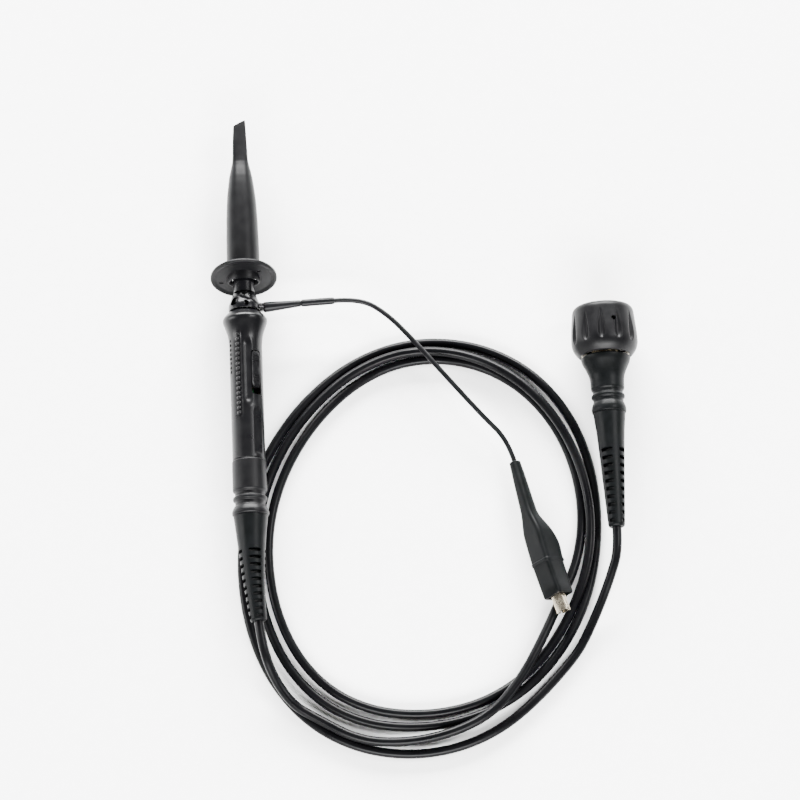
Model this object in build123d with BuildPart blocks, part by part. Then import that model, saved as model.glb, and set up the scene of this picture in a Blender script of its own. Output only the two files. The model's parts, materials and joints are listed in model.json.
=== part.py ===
"""Passive oscilloscope probe: hook tip, handle with slide switch, ground lead, coiled cable and BNC plug.

Millimetres, +Z up, lying on its storage surface at z = 0. The probe's long axis is +Y, towards the hook.
The origin is under the middle of the probe itself; the cable and what hangs on it lie to the +X side.
"""

from build123d import *
import os
from math import cos, pi, radians, sin, sqrt, tan

os.makedirs("parts", exist_ok=True)

# ---- driving dimensions -------------------------------------------------------------------------
CLEAR = 0.05  # radial clearance of pieces that are pushed together
RUNNING = 0.06  # radial clearance of pieces that turn or slide on each other
GAP = 0.3  # space between neighbours that move past each other

# hook tip
TIP_STATION = 78.5  # front of the hook sleeve's blade
FLANGE_STATION = 28.5
FLANGE_RADIUS = 10.0
FLANGE_THICKNESS = 1.1
FLANGE_RAKE = 15.0  # degrees, upper edge leaning towards the hook
SLEEVE_RADIUS = 4.92
BARREL_RADIUS = 2.5
SKIRT_RADIUS = BARREL_RADIUS + 0.7
SLEEVE_BORE = SKIRT_RADIUS + 0.2
NECK_STATION = 65.1
NECK_RADIUS = 2.35
BLADE_WIDTH = 3.4
BLADE_THICKNESS = 2.6
HOOK_WIRE_RADIUS = 0.4
HOOK_BEND = 0.7
HOOK_OFFSET = -0.35  # the hook's shank stands a little left of the axis
HOOK_TOP = 76.2  # where the hook's bend starts
RETRACT_TRAVEL = 3.0
SPRING_MEAN_RADIUS = 2.7
SPRING_WIRE_RADIUS = 0.22
SPRING_TURNS = 7
CARRIER_FRONT = 50.5
SPRING_SEAT = 42.0  # shoulder of the carrier
SLEEVE_SHOULDER = 54.0  # shoulder inside the sleeve

# nose
BARREL_WALL = 0.5
BARREL_FRONT = 34.0
BARREL_REAR = 6.0
NEEDLE_RADIUS = 0.5
NEEDLE_FRONT = 46.0
INSULATOR_FRONT = 40.5

# handle
HANDLE_FRONT = 17.4
HANDLE_REAR = -29.0
HANDLE_RADIUS = 4.92
HANDLE_WALL = 1.02
FLARE_RADIUS = HANDLE_RADIUS + 1.73
FLARE_STATION = 14.9
BULKHEAD = 4.4  # length of the solid front of the handle
SWITCH_ROLL = 39.0  # degrees that the slide switch faces round from straight up
SWITCH_FRONT = 4.3
SWITCH_LENGTH = 13.6
SWITCH_WIDTH = 3.4
SLIDER_TRAVEL = 2.0
FACET_HEIGHT = HANDLE_RADIUS - 0.16  # flat thumb facet, above the axis
FACET_FRONT = 7.5
FACET_LENGTH = 19.2
BOARD_WIDTH = 6.4
BOARD_THICKNESS = 0.8

# tail
TAIL_RADIUS = HANDLE_RADIUS + 0.23
TAIL_END = HANDLE_REAR - 17.0
GROOVE_RADIUS = TAIL_RADIUS - 0.65
GROOVE_WIDTH = 1.6
SHOULDER_RADIUS = TAIL_RADIUS + 0.4
RELIEF_LENGTH = 32.3
RELIEF_END_RADIUS = 2.5
RELIEF_PLUG = 9.0  # length of the relief's plug inside the housing
SLOT_COUNT = 10
SLOT_PITCH = 2.2
SLOT_SIZE = (1.15, 3.4)
RELIEF_BEND = 6.0  # degrees, towards +X

# cable
CABLE_DIAMETER = 2.8
CABLE_REST = CABLE_DIAMETER / 2  # height of the cable's centre where it lies on the table
LEAD_DIAMETER = 1.5

# ground clip ring
RING_FRONT = 23.3
RING_FRONT_RADIUS = 3.4
RING_REAR_RADIUS = 4.8

# alligator clip
CLIP_LENGTH = 43.7
CLIP_HALF_THICKNESS = 3.4
CLIP_WALL = 0.8
PIVOT_STATION = 34.0
PIVOT_SIDE = -0.1
PIVOT_RADIUS = 0.6
JAW_REACH = 5.0  # length of jaw that stands out of the boot
JAW_WIDTH = 3.6
JAW_SHEET = 0.4

# BNC plug, stations run back from the front of its sleeve
PLUG_SLEEVE_RADIUS = 10.0
PLUG_SLEEVE_LENGTH = 15.2
NUT_RADIUS = 7.2
NUT_BORE = 4.9
NUT_LENGTH = 14.4
NUT_FRONT = 0.4
BAYONET_STATION = 3.8
BAYONET_GROOVE = 2.2
CONTACT_RADIUS = 4.05
CONTACT_WALL = 0.5
CONTACT_FRONT = 4.2
CONTACT_REAR = 8.4
HUB_RADIUS = 4.45  # under the gasket
PIN_RADIUS = 0.675
PIN_FRONT = 3.4
PIN_SHOULDER = 6.8  # station of the insulator's face, where the pin gets thicker
PIN_ROOT_RADIUS = 0.9
PLUG_BARREL_RADIUS = 4.3
PLUG_FLANGE = 9.3
PLUG_LIP = 11.8
BELL_FRONT = 15.6
BELL_FRONT_RADIUS = 7.4
BELL_NECK = 22.1
BELL_RADIUS = 5.0
BELL_REAR = 33.0
BELL_BORE = 4.0
PLUG_RELIEF_LENGTH = 35.1
PLUG_RELIEF_PLUG = 2.6
TRIMMER_STATION = 19.6
TRIMMER_RADIUS = 1.8
TRIMMER_ACCESS_RADIUS = 1.3

# ---- reference frames: local x to the right, y forward along the axis, z up -------------------------
rake = radians(FLANGE_RAKE)
PROBE_HEIGHT = FLANGE_RADIUS * cos(rake) + FLANGE_THICKNESS / 2 * sin(rake)
PROBE = Plane(origin=(0, 0, PROBE_HEIGHT), x_dir=(1, 0, 0), z_dir=(0, 0, 1))
SWITCH = PROBE.rotated((0, SWITCH_ROLL, 0))
PLUG_LEAN = 0.9
PLUG = Plane(origin=(107.1, 14.8, PLUG_SLEEVE_RADIUS + CLEAR), z_dir=(0, 0, 1)).rotated((0, 0, PLUG_LEAN))
LEAD_START = Vector(5.6, 18.9, PROBE_HEIGHT)
LEAD_JOIN = Vector(17.0, 19.8, PROBE_HEIGHT)
LEAD_END = Vector(27.0, 20.35, PROBE_HEIGHT - 0.3)
CLIP_TAIL = Vector(79.0, -30.6, 4.8)
clip_forward = Vector(0.262, -0.965, 0.036).normalized()
clip_right = Vector(0.965, 0.262, 0).normalized()
clip_up = clip_forward.cross(clip_right)
CLIP_ROLL = radians(42)
clip_side = clip_right * cos(CLIP_ROLL) + clip_up * sin(CLIP_ROLL)
CLIP = Plane(origin=CLIP_TAIL, x_dir=clip_forward, z_dir=clip_side)  # x along, y to the thumb side


def outline(frame, *points):
    """Closed straight-sided outline of (station, radius) points, beside the frame's long axis."""
    with BuildSketch(frame) as sketch:
        with BuildLine():
            Polyline(*[(radius, station) for station, radius in points], close=True)
        make_face()
    return sketch.sketch


def ring(frame, front, rear, outer, inner=0.0):
    """Rectangular section of a tube, or of a rod where inner is 0."""
    return outline(frame, (front, inner), (front, outer), (rear, outer), (rear, inner))


def long_axis(frame):
    return Axis(frame.origin, frame.y_dir)


def at(frame, x, y, z, turn=(0, 0, 0)):
    """Place in a frame's own directions, turned about them in degrees."""
    return frame.location * Location((x, y, z), turn)


def save(piece, name):
    piece.part.label = name
    export_step(piece.part, f"parts/{name}.step")


def bent(frame, start, distance, length, bend):
    """Frame at a distance along a relief that starts at a station, runs backwards and bends to +x."""
    turn = radians(bend) * distance / length
    radius = length / radians(bend) if bend else 0
    side = radius * (1 - cos(turn)) if bend else 0
    back = radius * sin(turn) if bend else distance
    spot = frame.location * Location((side, start - back, 0), (0, 0, bend * distance / length))
    return Plane(spot)


def across(frame):
    """Plane at the frame's origin that faces back along its axis."""
    return Plane(origin=frame.origin, x_dir=frame.x_dir, z_dir=-frame.y_dir)


# ---- hook tip ---------------------------------------------------------------------------------------
def blade_section(station, width, thickness, corner):
    with BuildSketch(across(Plane(at(PROBE, 0, station, 0)))) as section:
        RectangleRounded(width, thickness, corner)
    return section.sketch


with BuildPart() as hook_sleeve:
    with BuildSketch(PROBE) as sleeve_half:
        with BuildLine():
            rear_edge = Line((0, FLANGE_STATION - 1.2), (SLEEVE_RADIUS, FLANGE_STATION - 1.2))
            bulge = Spline(
                rear_edge @ 1,
                (SLEEVE_RADIUS, 35.0),
                (SLEEVE_RADIUS - 0.4, 50.7),
                (SLEEVE_RADIUS - 1.02, 57.9),
                (NECK_RADIUS, NECK_STATION),
                tangents=[(0, 1), (-0.25, 1)],
            )
            Line(bulge @ 1, (0, NECK_STATION))
            Line((0, NECK_STATION), rear_edge @ 0)
        make_face()
    revolve(sleeve_half.sketch, axis=long_axis(PROBE))
    blade = [
        blade_section(NECK_STATION - 4.6, 2 * NECK_RADIUS - 0.1, 4.2, 1.4),
        blade_section(NECK_STATION + 0.6, 2 * NECK_RADIUS, 3.7, 1.2),
        blade_section(TIP_STATION, BLADE_WIDTH, BLADE_THICKNESS, 0.8),
    ]
    loft(blade)
    flange_frame = PROBE.location * Location((0, FLANGE_STATION, 0), (90 - FLANGE_RAKE, 0, 0))
    with Locations(flange_frame):
        Cylinder(FLANGE_RADIUS, FLANGE_THICKNESS)
    circles = hook_sleeve.edges().filter_by(GeomType.CIRCLE)
    fillet(circles.filter_by(lambda edge: abs(edge.radius - FLANGE_RADIUS) < 0.01), FLANGE_THICKNESS * 0.35)
    bore = outline(
        PROBE,
        (FLANGE_STATION - 4, 0),
        (FLANGE_STATION - 4, SLEEVE_BORE),
        (SLEEVE_SHOULDER, SLEEVE_BORE),
        (SLEEVE_SHOULDER + 2.5, 2 * HOOK_WIRE_RADIUS),
        (HOOK_TOP - 2, 2 * HOOK_WIRE_RADIUS),
        (HOOK_TOP - 2, 0),
    )
    revolve(bore, axis=long_axis(PROBE), mode=Mode.SUBTRACT)
    slot_left = HOOK_OFFSET - HOOK_WIRE_RADIUS - CLEAR
    with Locations(at(PROBE, slot_left, HOOK_TOP - 2.2, 0)):
        Box(6, 8, 2 * HOOK_WIRE_RADIUS + GAP, align=(Align.MIN, Align.MIN, Align.CENTER), mode=Mode.SUBTRACT)
    with BuildSketch(PROBE) as slant:
        with BuildLine():
            Polyline(
                (BLADE_WIDTH / 2, TIP_STATION),
                (-BLADE_WIDTH / 2, TIP_STATION - 2.6),
                (-BLADE_WIDTH, TIP_STATION - 4),
                (-BLADE_WIDTH, TIP_STATION + 2),
                (BLADE_WIDTH, TIP_STATION + 2),
                close=True,
            )
        make_face()
    extrude(slant.sketch, amount=BLADE_THICKNESS, both=True, mode=Mode.SUBTRACT)
save(hook_sleeve, "hook_sleeve")

with BuildPart() as hook_carrier:
    body = outline(
        PROBE,
        (RING_FRONT + GAP, BARREL_RADIUS + RUNNING),
        (RING_FRONT + GAP, SKIRT_RADIUS),
        (SPRING_SEAT, SKIRT_RADIUS),
        (SPRING_SEAT, 2.0),
        (CARRIER_FRONT, 2.0),
        (CARRIER_FRONT, 0),
        (CARRIER_FRONT - 1, 0),
        (CARRIER_FRONT - 1, 1.4),
        (INSULATOR_FRONT + 0.5, 1.4),
        (INSULATOR_FRONT + 0.5, 2.0),
        (BARREL_FRONT + GAP, 2.0),
        (BARREL_FRONT + GAP, BARREL_RADIUS + RUNNING),
    )
    revolve(body, axis=long_axis(PROBE))
    with Locations(at(PROBE, HOOK_OFFSET, CARRIER_FRONT, 0, (90, 0, 0))):
        Cylinder(HOOK_WIRE_RADIUS + CLEAR, 4, mode=Mode.SUBTRACT)
save(hook_carrier, "hook_carrier")

with BuildPart() as hook_socket:
    tube = ring(PROBE, CARRIER_FRONT - 1 - CLEAR, INSULATOR_FRONT + 0.7, 1.4 - CLEAR, NEEDLE_RADIUS + RUNNING)
    revolve(tube, axis=long_axis(PROBE))
save(hook_socket, "hook_socket")

with BuildPart() as hook_wire:
    with BuildLine(PROBE) as hook_path:
        shank = Line((HOOK_OFFSET, CARRIER_FRONT - 1), (HOOK_OFFSET, HOOK_TOP))
        barb = HOOK_OFFSET + 2 * HOOK_BEND
        bend = ThreePointArc(shank @ 1, (HOOK_OFFSET + HOOK_BEND, HOOK_TOP + HOOK_BEND), (barb, HOOK_TOP))
        Line(bend @ 1, (barb, HOOK_TOP - 0.9))
    with BuildSketch(Plane(origin=hook_path.line @ 0, z_dir=hook_path.line % 0)):
        Circle(HOOK_WIRE_RADIUS)
    sweep()
save(hook_wire, "hook_wire")


def wound_wire(centre, direction, height, turns, mean_radius, wire_radius):
    """Coil of round wire wound about a direction from its centre point."""
    with BuildPart() as coil:
        with BuildLine() as wire_line:
            Helix(pitch=height / turns, height=height, radius=mean_radius, center=centre, direction=direction)
        with BuildSketch(Plane(origin=wire_line.line @ 0, z_dir=wire_line.line % 0)):
            Circle(wire_radius)
        sweep(is_frenet=True)
    return coil


hook_spring = wound_wire(
    at(PROBE, 0, SPRING_SEAT + SPRING_WIRE_RADIUS + CLEAR, 0).position,
    PROBE.y_dir,
    SLEEVE_SHOULDER - SPRING_SEAT - 2 * SPRING_WIRE_RADIUS - 2 * CLEAR,
    SPRING_TURNS,
    SPRING_MEAN_RADIUS,
    SPRING_WIRE_RADIUS,
)
save(hook_spring, "hook_spring")

# ---- nose -------------------------------------------------------------------------------------------
with BuildPart() as nose_barrel:
    tube = ring(PROBE, BARREL_FRONT, BARREL_REAR, BARREL_RADIUS, BARREL_RADIUS - BARREL_WALL)
    revolve(tube, axis=long_axis(PROBE))
save(nose_barrel, "nose_barrel")

with BuildPart() as nose_insulator:
    core_radius = BARREL_RADIUS - BARREL_WALL - CLEAR
    sleeve = outline(
        PROBE,
        (BARREL_REAR, NEEDLE_RADIUS + CLEAR),
        (BARREL_REAR, core_radius),
        (BARREL_FRONT, core_radius),
        (INSULATOR_FRONT, NEEDLE_RADIUS + 0.5),
        (INSULATOR_FRONT, NEEDLE_RADIUS + CLEAR),
    )
    revolve(sleeve, axis=long_axis(PROBE))
save(nose_insulator, "nose_insulator")

with BuildPart() as needle_tip:
    shaft = outline(
        PROBE,
        (BARREL_REAR, 0),
        (BARREL_REAR, NEEDLE_RADIUS),
        (NEEDLE_FRONT - 1.5, NEEDLE_RADIUS),
        (NEEDLE_FRONT, 0.08),
        (NEEDLE_FRONT, 0),
    )
    revolve(shaft, axis=long_axis(PROBE))
save(needle_tip, "needle_tip")

# ---- handle -----------------------------------------------------------------------------------------
HANDLE_BORE = HANDLE_RADIUS - HANDLE_WALL

with BuildPart() as handle_shell:
    with BuildSketch(PROBE) as handle_half:
        with BuildLine():
            front_face = Line((0, HANDLE_FRONT), (HANDLE_RADIUS - 0.3, HANDLE_FRONT))
            lip = Line(front_face @ 1, (HANDLE_RADIUS, HANDLE_FRONT - 0.4))
            flare = Line(lip @ 1, (FLARE_RADIUS, FLARE_STATION))
            rim_line = Line(flare @ 1, (FLARE_RADIUS, FLARE_STATION - 0.6))
            hollow_point = (HANDLE_RADIUS + 0.5, FLARE_STATION - 4.0)
            waist = ThreePointArc(rim_line @ 1, hollow_point, (HANDLE_RADIUS, 8.4))
            side = Line(waist @ 1, (HANDLE_RADIUS, HANDLE_REAR))
            back = Line(side @ 1, (0, HANDLE_REAR))
            Line(back @ 1, front_face @ 0)
        make_face()
    revolve(handle_half.sketch, axis=long_axis(PROBE))
    hollow = outline(
        PROBE,
        (HANDLE_FRONT + 1, 0),
        (HANDLE_FRONT + 1, BARREL_RADIUS + CLEAR),
        (HANDLE_FRONT - BULKHEAD, BARREL_RADIUS + CLEAR),
        (HANDLE_FRONT - BULKHEAD, HANDLE_BORE),
        (HANDLE_REAR - 1, HANDLE_BORE),
        (HANDLE_REAR - 1, 0),
    )
    revolve(hollow, axis=long_axis(PROBE), mode=Mode.SUBTRACT)
    with Locations(at(SWITCH, 0, SWITCH_FRONT, HANDLE_BORE - 1)):
        Box(SWITCH_WIDTH, SWITCH_LENGTH, 4, align=(Align.CENTER, Align.MAX, Align.MIN), mode=Mode.SUBTRACT)
    with Locations(at(PROBE, 0, FACET_FRONT, FACET_HEIGHT)):
        Box(4, FACET_LENGTH, 2, align=(Align.CENTER, Align.MAX, Align.MIN), mode=Mode.SUBTRACT)
save(handle_shell, "handle_shell")

SLIDER_TOP = HANDLE_RADIUS - 0.1
SLIDER_LENGTH = SWITCH_LENGTH - SLIDER_TRAVEL - GAP
SLIDER_WIDTH = SWITCH_WIDTH - GAP
WING_TOP = sqrt(HANDLE_BORE**2 - 2.3**2) - GAP

with BuildPart() as attenuation_slider:
    pad_front = SWITCH_FRONT - GAP / 2
    with Locations(at(SWITCH, 0, pad_front, SLIDER_TOP)):
        Box(SLIDER_WIDTH, SLIDER_LENGTH, SLIDER_TOP - WING_TOP, align=(Align.CENTER, Align.MAX, Align.MAX))
    with Locations(at(SWITCH, 0, pad_front - SLIDER_LENGTH / 2, WING_TOP)):
        Box(4.6, SLIDER_LENGTH - 3, 0.5, align=(Align.CENTER, Align.CENTER, Align.MAX))
        Box(1.6, 4, WING_TOP - 1.2, align=(Align.CENTER, Align.CENTER, Align.MAX))
    with Locations(at(SWITCH, 0, pad_front - SLIDER_LENGTH / 2, SLIDER_TOP)):
        with GridLocations(0, 0.9, 1, 7):
            Box(SLIDER_WIDTH, 0.35, 0.5, mode=Mode.SUBTRACT)
save(attenuation_slider, "attenuation_slider")

BOARD_FRONT = BARREL_REAR - GAP
BOARD_REAR = HANDLE_REAR - 1.5

with BuildPart() as attenuator_board:
    board_length = BOARD_FRONT - BOARD_REAR
    with Locations(at(SWITCH, 0, BOARD_FRONT, 0)):
        Box(BOARD_WIDTH, board_length, BOARD_THICKNESS, align=(Align.CENTER, Align.MAX, Align.CENTER))
save(attenuator_board, "attenuator_board")

with BuildPart() as switch_contact:
    with Locations(at(SWITCH, 0, SWITCH_FRONT, BOARD_THICKNESS / 2)):
        Box(2.6, SWITCH_LENGTH, 0.6, align=(Align.CENTER, Align.MAX, Align.MIN))
save(switch_contact, "switch_contact")

with BuildPart() as tip_resistor:
    with Locations(at(SWITCH, 0, -16, BOARD_THICKNESS / 2 + 0.9, (90, 0, 0))):
        Cylinder(0.85, 6)
        Cylinder(0.25, 10)
save(tip_resistor, "tip_resistor")

with BuildPart() as tip_capacitor:
    with Locations(at(SWITCH, 0, -26, BOARD_THICKNESS / 2)):
        Box(3.0, 2.2, 1.4, align=(Align.CENTER, Align.CENTER, Align.MIN))
save(tip_capacitor, "tip_capacitor")

with BuildPart() as tail_collar:
    groove_rear = TAIL_END + 1.4 + 1.5
    groove_front = groove_rear + GROOVE_WIDTH + 1.2
    shell = outline(
        PROBE,
        (HANDLE_REAR, HANDLE_BORE),
        (HANDLE_REAR, TAIL_RADIUS),
        (groove_front + GROOVE_WIDTH, TAIL_RADIUS),
        (groove_front + GROOVE_WIDTH, GROOVE_RADIUS),
        (groove_front, GROOVE_RADIUS),
        (groove_front, TAIL_RADIUS),
        (groove_rear + GROOVE_WIDTH, TAIL_RADIUS),
        (groove_rear + GROOVE_WIDTH, GROOVE_RADIUS),
        (groove_rear, GROOVE_RADIUS),
        (groove_rear, TAIL_RADIUS),
        (TAIL_END + 1.4, TAIL_RADIUS),
        (TAIL_END + 1.2, SHOULDER_RADIUS),
        (TAIL_END, SHOULDER_RADIUS),
        (TAIL_END, HANDLE_BORE),
    )
    revolve(shell, axis=long_axis(PROBE))
save(tail_collar, "tail_collar")


def strain_relief(frame, start, length, head_radius, end_radius, plug_radius, plug_length, bend):
    """Slotted rubber sleeve with a plug that fills the housing in front of it, bored for the cable."""
    straight = 4.0
    tapered = length - straight
    bore_radius = CABLE_DIAMETER / 2 + CLEAR

    def section(distance, radius):
        with BuildSketch(across(bent(frame, start - straight, distance, tapered, bend))) as disc:
            Circle(radius)
        return disc.sketch

    stations = [0, tapered / 2, tapered]
    with BuildPart() as relief:
        plug = outline(
            frame,
            (start + plug_length, 0),
            (start + plug_length, plug_radius),
            (start, plug_radius),
            (start, head_radius),
            (start - straight, head_radius - 0.45),
            (start - straight, 0),
        )
        revolve(plug, axis=long_axis(frame))
        middle_radius = (head_radius - 0.45 + end_radius) / 2
        loft([section(d, r) for d, r in zip(stations, [head_radius - 0.45, middle_radius, end_radius])])
        cable_bore = ring(frame, start + plug_length, start - straight, bore_radius)
        revolve(cable_bore, axis=long_axis(frame), mode=Mode.SUBTRACT)
        loft([section(d, bore_radius) for d in stations], mode=Mode.SUBTRACT)
        first_slot = tapered - 1.4 - SLOT_PITCH * (SLOT_COUNT - 1)
        slots = []
        for index in range(SLOT_COUNT):
            spot = bent(frame, start - straight, first_slot + SLOT_PITCH * index, tapered, bend)
            slots += [at(spot, 0, 0, 0, (0, 90 * quarter, 0)) for quarter in range(4)]
        pocket_floor = bore_radius + 0.35
        with Locations([slot * Location((0, 0, pocket_floor)) for slot in slots]):
            Box(
                SLOT_SIZE[1],
                SLOT_SIZE[0],
                head_radius,
                align=(Align.CENTER, Align.CENTER, Align.MIN),
                mode=Mode.SUBTRACT,
            )
    return relief


handle_strain_relief = strain_relief(
    PROBE,
    TAIL_END,
    RELIEF_LENGTH,
    TAIL_RADIUS,
    RELIEF_END_RADIUS,
    HANDLE_BORE - CLEAR,
    RELIEF_PLUG,
    RELIEF_BEND,
)
save(handle_strain_relief, "handle_strain_relief")

with BuildPart() as cable_ferrule:
    crimp = ring(PROBE, BOARD_REAR - GAP, TAIL_END + RELIEF_PLUG + CLEAR, 2.4, CABLE_DIAMETER / 2 + CLEAR)
    revolve(crimp, axis=long_axis(PROBE))
save(cable_ferrule, "cable_ferrule")

# ---- ground lead: clip ring, heat-shrink root and sleeve ------------------------------------------------
lead_heading = (LEAD_JOIN - LEAD_START).normalized()
sleeve_heading = (LEAD_END - LEAD_JOIN).normalized()

with BuildPart() as ground_clip_ring:
    ring_rear = HANDLE_FRONT + GAP
    cone = outline(
        PROBE,
        (RING_FRONT, BARREL_RADIUS + RUNNING),
        (RING_FRONT, RING_FRONT_RADIUS),
        (ring_rear + 1.6, RING_REAR_RADIUS),
        (ring_rear, RING_REAR_RADIUS),
        (ring_rear, BARREL_RADIUS + RUNNING),
    )
    revolve(cone, axis=long_axis(PROBE))
    with Locations(at(PROBE, BARREL_RADIUS + 1, ring_rear, 0)):
        Box(LEAD_START.X - BARREL_RADIUS - 1.2, 2.6, 3.0, align=(Align.MIN, Align.MIN, Align.CENTER))
    with Locations(at(PROBE, 0, RING_FRONT, 0, (0, -38, 0))):
        Box(1.5, 2.4, 12, align=(Align.CENTER, Align.MAX, Align.MIN), mode=Mode.SUBTRACT)
    with Locations(at(PROBE, 0, RING_FRONT, 0, (0, 200, 0))):
        Box(2.2, 12, 12, align=(Align.CENTER, Align.CENTER, Align.MIN), mode=Mode.SUBTRACT)
save(ground_clip_ring, "ground_clip_ring")

with BuildPart() as lead_root:
    with BuildSketch(Plane(origin=LEAD_START, z_dir=lead_heading)) as wide_end:
        Circle(1.2)
    with BuildSketch(Plane(origin=LEAD_JOIN - lead_heading * CLEAR, z_dir=lead_heading)) as slim_end:
        Circle(0.85)
    loft([wide_end.sketch, slim_end.sketch])
save(lead_root, "lead_root")

with BuildPart() as lead_sleeve:
    with BuildSketch(Plane(origin=LEAD_JOIN, z_dir=sleeve_heading)):
        Circle(1.12)
    extrude(amount=(LEAD_END - LEAD_JOIN).length)
save(lead_sleeve, "lead_sleeve")


# ---- free cable and ground wire ---------------------------------------------------------------------
def cord(points, diameter, name):
    """Tube along straight runs joined by tangent arcs, each as large as its two runs allow."""
    spots = [Vector(*point) for point in points]
    radii = []
    for before, here, after in zip(spots, spots[1:], spots[2:]):
        turn = (here - before).get_angle(after - here)
        shorter = min((here - before).length, (after - here).length)
        radii.append(0.45 * shorter / tan(radians(turn / 2)))
    with BuildPart() as tube:
        with BuildLine() as route:
            FilletPolyline(*spots, radius=radii)
        with BuildSketch(Plane(origin=route.line @ 0, z_dir=route.line % 0)):
            Circle(diameter / 2)
        sweep()
    length = sum(edge.length for edge in route.edges())
    ideal_volume = pi * diameter**2 / 4 * length
    print(name, "length", round(length, 1), "radii", [round(radius, 1) for radius in radii])
    print(name, "volume over section times length", round(tube.part.volume / ideal_volume, 4))
    return tube


relief_bent = bent(PROBE, TAIL_END - 4.0, RELIEF_LENGTH - 4.0, RELIEF_LENGTH - 4.0, RELIEF_BEND)
relief_mouth = relief_bent.origin
plug_mouth = (PLUG.location * Location((0, -(BELL_REAR + PLUG_RELIEF_LENGTH), 0))).position
print("relief mouth", relief_mouth, "plug mouth", plug_mouth)

cable_lead_in = cord(
    [
        relief_mouth,
        relief_mouth - relief_bent.y_dir * 8.4,
        (5.4, -95.4, 5.6),
        (11.8, -103.0, 2.9),
        (19.2, -109.4, CABLE_REST + 0.3),
    ],
    CABLE_DIAMETER,
    "cable_lead_in",
)
save(cable_lead_in, "cable_lead_in")

cable_lead_out = cord(
    [
        (86.0, -102.2, CABLE_REST + 0.2),
        (94.2, -92.4, CABLE_REST + 0.1),
        (101.6, -81.4, 2.6),
        (106.4, -71.0, 6.6),
        plug_mouth - PLUG.y_dir * 8.0,
        plug_mouth,
    ],
    CABLE_DIAMETER,
    "cable_lead_out",
)
save(cable_lead_out, "cable_lead_out")

ground_wire = cord(
    [
        LEAD_END,
        LEAD_END + sleeve_heading * 7.8,
        (42.6, 15.8, 8.9),
        (50.2, 7.4, 8.4),
        (60.4, -5.0, 7.4),
        (70.2, -16.4, 5.7),
        CLIP_TAIL - clip_forward * 7.3,
        CLIP_TAIL,
    ],
    LEAD_DIAMETER,
    "ground_wire",
)
save(ground_wire, "ground_wire")

COIL_OUTSIDE = [
    (103.8, -56.0),
    (103.0, -26.1),
    (92.2, -6.9),
    (63.5, 9.8),
    (51.8, 9.7),
    (23.8, -2.1),
    (5.4, -23.4),
    (-5.0, -52.3),
    (-3.8, -82.0),
    (3.7, -98.0),
    (22.8, -116.4),
    (40.9, -121.2),
    (58.8, -119.6),
    (77.0, -111.6),
    (92.0, -97.4),
    (98.4, -80.4),
]
COIL_INSIDE = [
    (97.1, -56.1),
    (95.6, -30.2),
    (86.9, -13.0),
    (61.9, 1.6),
    (51.8, 1.2),
    (28.2, -10.6),
    (13.5, -28.9),
    (5.8, -52.7),
    (13.7, -88.8),
    (29.4, -102.2),
    (57.2, -105.7),
    (83.4, -88.2),
    (92.6, -75.6),
]
COIL_HEIGHT = CABLE_DIAMETER + 0.4  # a little over one layer: the turns lie side by side

with BuildPart() as cable_coil:
    with BuildSketch():
        with BuildLine():
            Spline(*COIL_OUTSIDE, periodic=True)
        make_face()
        with BuildLine():
            Spline(*COIL_INSIDE, periodic=True)
        make_face(mode=Mode.SUBTRACT)
    extrude(amount=COIL_HEIGHT)
save(cable_coil, "cable_coil")

with BuildPart() as cable_ends:
    revolve(ring(PROBE, BOARD_REAR - GAP, TAIL_END - 3.8, CABLE_DIAMETER / 2), axis=long_axis(PROBE))
    plug_cable = ring(PLUG, PLUG_RELIEF_PLUG - BELL_REAR + CLEAR, -(BELL_REAR + 30.0), CABLE_DIAMETER / 2)
    revolve(plug_cable, axis=long_axis(PLUG))
save(cable_ends, "cable_ends")

# ---- alligator clip: x runs from the tail to the jaws, y to the thumb side, z across ---------------------
with BuildPart() as clip_boot:
    with BuildSketch(CLIP):
        with BuildLine():
            Polyline(
                (0, -1.3),
                (17, -2.9),
                (33, -3.7),
                (CLIP_LENGTH, -3.1),
                (CLIP_LENGTH, 3.1),
                (32.5, 3.1),
                (28.4, 4.6),
                (26.6, 4.4),
                (19.5, 0.7),
                (17, -0.1),
                (0, 1.3),
                close=True,
            )
        make_face()
    extrude(amount=CLIP_HALF_THICKNESS, both=True)
    with BuildSketch(Plane(origin=CLIP.origin, x_dir=CLIP.x_dir, z_dir=CLIP.y_dir)):
        with BuildLine():
            Polyline(
                (0, -1.3),
                (17, -1.7),
                (23, -CLIP_HALF_THICKNESS),
                (CLIP_LENGTH, -CLIP_HALF_THICKNESS),
                (CLIP_LENGTH, CLIP_HALF_THICKNESS),
                (23, CLIP_HALF_THICKNESS),
                (17, 1.7),
                (0, 1.3),
                close=True,
            )
        make_face()
    extrude(amount=12, both=True, mode=Mode.INTERSECT)
    with BuildSketch(CLIP):
        with BuildLine():
            Polyline(
                (22.4, -2.4),
                (33, -2.9),
                (CLIP_LENGTH + 1, -2.3),
                (CLIP_LENGTH + 1, 2.65),
                (32.2, 2.6),
                (28.3, 3.8),
                (26.9, 3.6),
                (22.4, 1.2),
                close=True,
            )
        make_face()
    extrude(amount=CLIP_HALF_THICKNESS - CLIP_WALL, both=True, mode=Mode.SUBTRACT)
save(clip_boot, "clip_boot")


def jaw(cheek, hollow, width):
    """Folded sheet jaw: two cheeks joined along their back, with the pivot pin's hole through both."""
    with BuildPart() as channel:
        layers = [(cheek, width / 2, Mode.ADD), (hollow, width / 2 - JAW_SHEET, Mode.SUBTRACT)]
        for points, half_width, mode in layers:
            with BuildSketch(CLIP) as side:
                with BuildLine():
                    Polyline(*points, close=True)
                make_face()
            extrude(side.sketch, amount=half_width, both=True, mode=mode)
        with Locations(at(CLIP, PIVOT_STATION, PIVOT_SIDE, 0)):
            Cylinder(PIVOT_RADIUS + RUNNING, 2 * width, mode=Mode.SUBTRACT)
    return channel


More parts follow.
